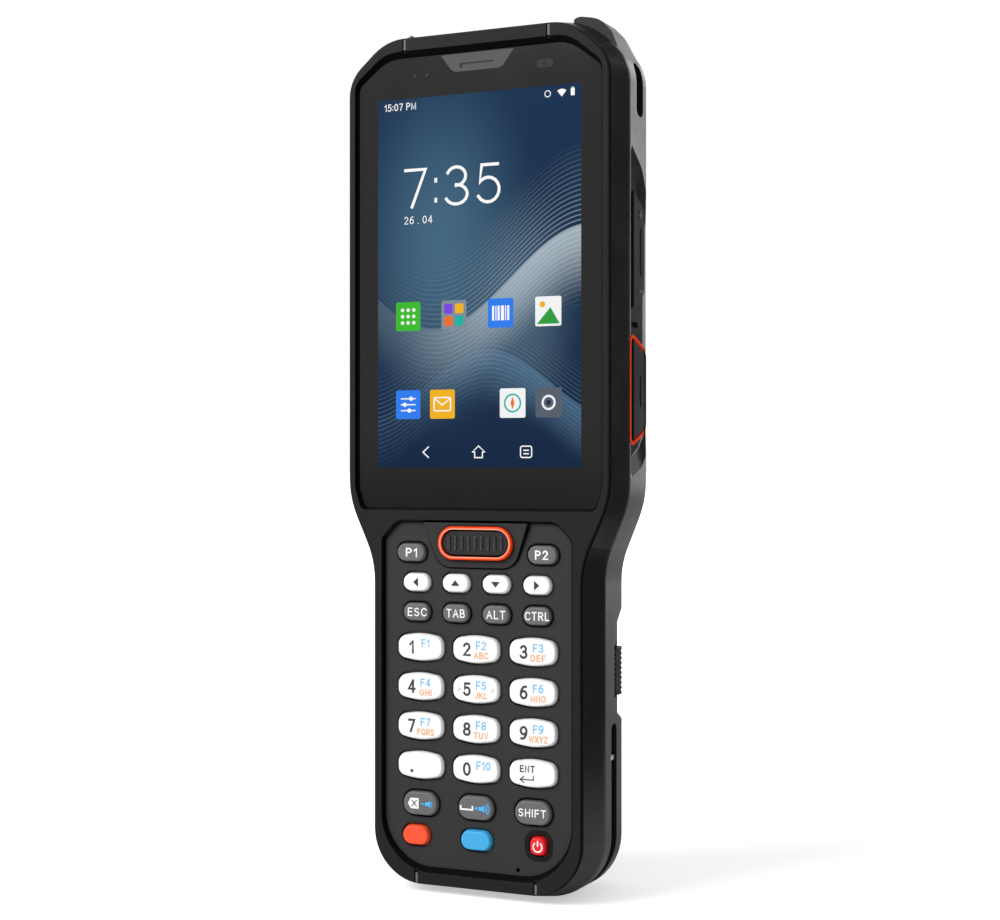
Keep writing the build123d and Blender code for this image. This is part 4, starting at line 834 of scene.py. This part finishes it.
lit = {key: lit_colour("lcd_" + key, code) for key, code in {
    "white": "#FFFFFF", "green": "#3DBB2C", "slate": "#7F8D9A", "blue": "#2F7DF0",
    "paper": "#F4F6F7", "yellow": "#F3B31E", "steel": "#56616E", "purple": "#7B45E0",
    "orange": "#F0702A", "teal": "#1AB3A3", "leaf": "#2E9E3E", "ink": "#20304A"}.items()}
white = lit["white"]
print("screen colours:", len(lit))

# %% [markdown]
# The home screen shows a clock, a row of status marks, eight plain tiles with simple pictograms,
# and three navigation marks at the bottom.

# %% Clock and status marks
TOP_Y = SCREEN_Y - INK * 0.5


def on_display(name, parts, y=TOP_Y):
    """A piece of the lit display."""
    make_piece(name, parts, y, "terminal")


on_display("screen_clock", painted(
    [lettering("7:35", 9.4, -19.1, SCREEN_BASE + 65.9, 0.72, width=25.1, left=True),
     lettering("26 . 04", 1.8, -19.1, SCREEN_BASE + 58.4, 0.2, left=True, gap=0.2)], white))

x, z = 21.4, SCREEN_BASE + 85.3
on_display("screen_status", painted(
    [lettering("15:07 PM", 1.7, -24.4, SCREEN_BASE + 85.4, 0.22, left=True, gap=0.16),
     polygon([(x, z - 0.9)] + arc(x, z - 0.9, 1.75, 50, 130, 8)),
     polygon(rounded(24.1, z, 0.95, 1.7, 0.15)), rectangle(23.9, z + 0.9, 24.3, z + 1.1),
     stroke(arc(17.9, z, 0.7, 0, 345, 20), 0.2, closed=True)], white))
print("clock and status row drawn")

# %% [markdown]
# A back arrow, a house and a card with two lines stand for back, home and recent.

# %% Navigation marks
z = SCREEN_BASE + 3.6
MARK = 0.28                  # width of the lines
on_display("screen_navigation", painted(
    [stroke([(-12.6, z + 1.3), (-14.1, z), (-12.6, z - 1.3)], 0.3),
     stroke([(-1.2, z), (0.4, z + 1.4), (2.0, z), (1.4, z), (1.4, z - 1.3), (-0.6, z - 1.3),
             (-0.6, z)], MARK, closed=True),
     stroke(rounded(12.5, z, 2.8, 2.6, 0.5), MARK, closed=True),
     stroke([(11.8, z + 0.35), (13.2, z + 0.35)], MARK),
     stroke([(11.8, z - 0.45), (13.2, z - 0.45)], MARK)], white))
print("navigation marks drawn")

# %% [markdown]
# The tiles in the upper row carry nine dots, four squares, a bar pattern and a hill with a sun.
# Those in the lower row carry sliders, an envelope, a compass and a lens.

# %% Application tiles
TILE_W, TILE_H = 6.5, 6.8
UPPER, LOWER = SCREEN_BASE + 35.7, SCREEN_BASE + 14.85
tiles = [("green", -18.05, UPPER), ("slate", -6.0, UPPER), ("blue", 6.05, UPPER),
         ("paper", 18.05, UPPER), ("blue", -18.05, LOWER), ("yellow", -9.0, LOWER),
         ("paper", 9.1, LOWER), ("steel", 18.15, LOWER)]
on_display("screen_tiles", [(polygon(rounded(x, z, TILE_W, TILE_H, 0.45)), lit[colour])
                            for colour, x, z in tiles])

marks = painted([disc(-18.05 + i * 1.5, UPPER + k * 1.5, 0.42)
                 for i in (-1, 0, 1) for k in (-1, 0, 1)], white)
marks += [(polygon(rounded(-6.0 + x, UPPER + z, 2.2, 2.3, 0.35)), lit[colour])
          for x, z, colour in ((-1.4, 1.45, "purple"), (1.4, 1.45, "yellow"),
                               (-1.4, -1.45, "orange"), (1.4, -1.45, "teal"))]
BARS_LEFT, BAR_REACH = 3.9, 1.7
bars = ((0.0, 0.5), (0.85, 0.25), (1.4, 0.5), (2.25, 0.75), (3.3, 0.25), (3.85, 0.5))
marks += painted([rectangle(BARS_LEFT + gap, UPPER - BAR_REACH, BARS_LEFT + gap + width,
                            UPPER + BAR_REACH) for gap, width in bars], white)
marks += [(polygon([(15.2, UPPER - 2.9), (20.9, UPPER - 2.9), (18.6, UPPER + 0.9)]), lit["leaf"]),
          (disc(16.6, UPPER + 1.6, 0.7), lit["yellow"])]
for rise, knob in ((1.4, 0.8), (0.0, -0.9), (-1.4, 0.3)):
    marks += painted([stroke([(-20.0, LOWER + rise), (-16.1, LOWER + rise)], MARK),
                      disc(-18.05 + knob, LOWER + rise, 0.5)], white)
flap = [(-11.0, LOWER + 1.3), (-9.0, LOWER - 0.2), (-7.0, LOWER + 1.3)]
marks += painted([stroke(rounded(-9.0, LOWER, 4.3, 3.1, 0.3), 0.3, closed=True),
                  stroke(flap, 0.3)], white)
needle = polygon([(9.1, LOWER - 1.5), (9.6, LOWER), (9.1, LOWER + 1.5), (8.6, LOWER)])
marks += [(stroke(arc(9.1, LOWER, 2.0, 0, 345, 23), 0.4, closed=True), lit["teal"]),
          (needle, lit["orange"]),
          (stroke(arc(18.15, LOWER, 1.5, 0, 345, 23), 0.5, closed=True), lit["paper"]),
          (disc(18.15, LOWER, 0.6), lit["ink"])]
on_display("screen_pictograms", marks, TOP_Y - INK * 0.5)
print("tiles and marks:", len(tiles), len(marks))

# %% [markdown]
# ## Small parts of the front
# A paler line along the inner edge of the orange ring is a painted highlight. A black ring round
# the power key is painted shade, where the real key sits in a dark recessed well. A black printed
# ring sets the power key off from the deck.

# %% Rings round two keys
# The bead is a painted highlight along the ring's inner edge.
BEAD = 0.34
BEAD_INSET = 1.15            # how much smaller the bead's line is than the ring
low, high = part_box("scan_key_ring")
_, ring_z = middle_of("scan_key_ring")
wide, tall = (high.x - low.x) / MM - BEAD_INSET, (high.z - low.z) / MM - BEAD_INSET
bead = stroke(rounded(0.0, ring_z, wide, tall, tall / 2 - 0.02), BEAD, closed=True)
make_piece("scan_ring_painted_highlight", [(bead, ring_painted_highlight)], low.y / MM - 0.004, "terminal")

# The black ring round the power key is painted shade, not print; SURROUND is its width.
SURROUND = 0.95              # width of the printed ring
low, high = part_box("key_power")
wide, tall = (side / MM + SURROUND + 0.3 for side in (high.x - low.x, high.z - low.z))
surround = stroke(rounded(*middle_of("key_power"), wide, tall, 2.2), SURROUND, closed=True)
make_piece("power_surround", [(surround, well_painted_shade)], glass_y - INK * 0.9, "terminal")
print("bead and surround laid")

# %% [markdown]
# The rim has four shallow notches, and a light grey strip in each is a painted highlight on the
# notch's lit flank. The glass has a clear pill over the front camera and two dots over the light
# sensors, left open in the print.

# %% Rim notch highlights and sensor openings
# Painted highlight: a light grey strip in each rim notch stands for its lit flank.
notch_painted_highlight = moulded("painted_notch_highlight_grey", "#6A6A6A", roughness=0.5, grain=0.3, edge_tone_rubbed_and_highlit="#8A8A8A")
TICK, TICK_SHIFT = 0.55, 0.12
ticks = []
for x, low, high in ((18.5, 198.15, 200.6), (15.3, 2.1, 4.35)):
    for side in (-1, 1):
        left = side * x - TICK / 2 + TICK_SHIFT
        ticks.append(rectangle(left, low, left + TICK, high))
make_piece("rim_notch_highlights", painted(ticks, notch_painted_highlight), rim_y + 0.03, "terminal",
           thickness=0.3)

sensor_rim = polished("sensor_opening_edge", "#050505", 0.2, specular=0.1)
sensor_tint = polished("clear_glass_over_sensor", "#2B2B2E", 0.05, specular=0.4)
eye_tint = polished("coated_front_lens", "#15151C", 0.03)
EYE_X, SENSOR_XS, SENSOR_Z = 17.2, (-16.3, -13.1), SCREEN_BASE + 92.4
openings = [(polygon(rounded(EYE_X, SENSOR_Z, 4.2, 1.9, 0.85)), sensor_tint)]
for radius, tint in ((0.66, sensor_rim), (0.48, sensor_tint)):
    openings += painted([disc(x, SENSOR_Z, radius) for x in SENSOR_XS], tint)
make_piece("sensor_openings", openings, glass_y - INK * 0.5, "terminal")
make_piece("front_camera_eye", [(disc(EYE_X, SENSOR_Z, 0.62), eye_tint)], glass_y - INK,
           "terminal")
print("notch_highlights:", len(ticks), "sensor openings:", 1 + len(SENSOR_XS))

# %% [markdown]
# ## Rear camera
# The rear camera looks out through coated glass set in a dark metal ring. Below it, a clear lens
# spreads the light of the flash. They are thin discs here, seated on the camera block.

# %% Rear camera lens and flash
lens_ring = moulded("anodised_aluminium_ring", "#4A4A4C", roughness=0.3, grain=0.3, depth=0.003,
                    edge=0.05, wear=0.0, Metallic=1.0)
flash_lens = polished("clear_flash_lens", "#C9C6B8", 0.25)
CAMERA_FLANGE, FLASH_DROP, RING_MIDDLE, LENS_SINK = 5.6, 11.0, 3.6, 0.5
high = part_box("rear_camera")[1]
face_y, camera_z = high.y / MM, high.z / MM - CAMERA_FLANGE
camera_x, _ = middle_of("rear_camera")
ring = stroke(arc(camera_x, camera_z, RING_MIDDLE, 0, 345, 23), 1.2, closed=True)
for name, shape, material, sink in (
        ("rear_camera_ring", ring, lens_ring, 0.0),
        ("rear_camera_glass", disc(camera_x, camera_z, 2.8), eye_tint, LENS_SINK),
        ("rear_flash_lens", disc(camera_x, camera_z - FLASH_DROP, 2.0), flash_lens, 0.0)):
    make_piece(name, [(shape, material)], face_y - 0.01 - sink, "terminal")
print("rear camera at height", round(camera_z, 1))

# %% [markdown]
# ## Studio
# A pale floor meets a white background, which is white to the camera, in reflections and
# through glass, and dimmer as a source of light, so that the lamps shape the object.

# %% World and floor
world = bpy.data.worlds.new("studio_white")
bpy.context.scene.world = world
world.use_nodes = True
sky = world.node_tree
sky.nodes.clear()
path = add(sky, "ShaderNodeLightPath")
seen = calc("MAXIMUM", path.outputs["Is Camera Ray"], path.outputs["Is Glossy Ray"])
seen = calc("MAXIMUM", seen, path.outputs["Is Transmission Ray"])
WHITE = (1.0, 1.0, 1.0, 1.0)
AMBIENT = 0.5
dim = add(sky, "ShaderNodeBackground", {"Color": WHITE, "Strength": AMBIENT})
bright = add(sky, "ShaderNodeBackground", {"Color": WHITE, "Strength": 1.0})
backdrop = add(sky, "ShaderNodeMixShader", {0: seen, 1: dim.outputs[0], 2: bright.outputs[0]})
add(sky, "ShaderNodeOutputWorld", {0: backdrop.outputs[0]})


def card(name, low, high, material):
    """A studio card between two corners in metres: level, or standing along y."""
    level = low[2] == high[2]
    second = (high[0], low[1], low[2]) if level else (low[0], high[1], low[2])
    fourth = (low[0], high[1], low[2]) if level else (low[0], low[1], high[2])
    mesh = bpy.data.meshes.new(name)
    mesh.from_pydata([low, second, high, fourth], [], [[0, 1, 2, 3]])
    mesh.materials.append(material)
    sheet = bpy.data.objects.new(name, mesh)
    bpy.context.scene.collection.objects.link(sheet)
    return sheet


floor_paint, tree = new_material("matt_white_floor")
grain = add(tree, "ShaderNodeTexNoise", {"Scale": 40.0}).outputs[0]
paint = mix(grain, linear("#F0F0F0"), linear("#F6F6F6"))
matt = add(tree, "ShaderNodeBsdfDiffuse", {"Color": paint})
# Light falls off away from the object, so the paper gives back a little more there.
far = vector_calc("LENGTH", place_in(tree))
lift = add(tree, "ShaderNodeEmission", {"Strength": ramp(far, 0.12, 0.8, 0.5, 0.95)})
both = add(tree, "ShaderNodeAddShader", {0: matt.outputs[0], 1: lift.outputs[0]})
rays = add(tree, "ShaderNodeLightPath")
pick = add(tree, "ShaderNodeMixShader", {0: rays.outputs["Is Camera Ray"], 1: matt.outputs[0],
                                         2: both.outputs[0]})
add(tree, "ShaderNodeOutputMaterial", {0: pick.outputs[0]})
REACH, FLOOR_Z = 30.0, -0.0002
card("floor", (-REACH, -REACH, FLOOR_Z), (REACH, REACH, FLOOR_Z), floor_paint)
print("floor in metres:", 2 * REACH, "square")

# %% [markdown]
# Gloss mirrors whatever stands round an object, so studios darken it with grey cards, called
# flags. One stands off to the right and keeps the bevelled side dark, one overhead does the same
# for the slanted corners, and two low ones, one on the floor and one standing, for the grip.
# They are seen in reflections only.

# %% Flags
flag_grey, tree = new_material("grey_flag_card")
shine = add(tree, "ShaderNodeEmission", {"Color": linear("#FFFFFF"), "Strength": 0.03})
add(tree, "ShaderNodeOutputMaterial", {0: shine.outputs[0]})
flags = [card(name, low, high, flag_grey) for name, low, high in (
    ("flag", (0.9, -1.2, 0.0), (0.9, 1.9, 1.8)),
    ("ceiling_flag", (-1.0, 0.4, 1.2), (0.95, 1.75, 1.2)),
    ("floor_flag", (0.04, -0.4, 0.001), (0.9, 0.0, 0.001)),
    ("grip_flag", (0.13, -0.3, 0.001), (0.13, 0.2, 0.09)))]
for sheet in flags:
    for ray in ("visible_camera", "visible_diffuse", "visible_transmission", "visible_shadow"):
        setattr(sheet, ray, False)
print("flags:", len(flags))

# %% [markdown]
# A large soft lamp at the front left gives the main light. A narrow, weaker one behind on the
# right picks out the edge of the side.

# %% Lamps
def soft_lamp(name, place, width, height, power):
    """A rectangular soft lamp that faces the middle of the object."""
    lamp = bpy.data.lights.new(name, "AREA")
    lamp.shape = "RECTANGLE"
    lamp.size, lamp.size_y, lamp.energy = width, height, power
    holder = bpy.data.objects.new(name, lamp)
    bpy.context.scene.collection.objects.link(holder)
    holder.location = place
    holder.rotation_euler = (MIDDLE - Vector(place)).to_track_quat("-Z", "Y").to_euler()
    holder.visible_camera = False


MIDDLE = Vector((0.0, 0.0, 0.1))
soft_lamp("key_lamp", (-0.75, -0.95, 0.95), 0.9, 0.9, 17.0)
soft_lamp("edge_lamp", (0.30, 1.15, 0.2), 0.35, 1.2, 2.3)
print("lamps placed")

# %% [markdown]
# ## Camera
# The camera stands level with the lower edge of the display, turned 25 degrees to the right, and
# looks straight ahead. A small lens shift puts the object in the picture without tilting.

# %% Camera
lens = bpy.data.cameras.new("camera")
lens.sensor_width = 36.0
lens.lens = 66.2
lens.shift_y = 0.0075
camera = bpy.data.objects.new("camera", lens)
bpy.context.scene.collection.objects.link(camera)
camera.location = (0.1851, -0.3987, SCREEN_BASE * MM)
camera.rotation_euler = (math.pi / 2, 0.0, math.radians(24.95))
bpy.context.scene.camera = camera
bpy.context.scene.view_settings.view_transform = "Standard"
print("camera in metres:", tuple(round(c, 3) for c in camera.location))

# %% [markdown]
# ## Finish
# The dressed object must stay as large as its solids; the last step brings the scene up to date.

# %% Finish
bpy.context.view_layer.update()
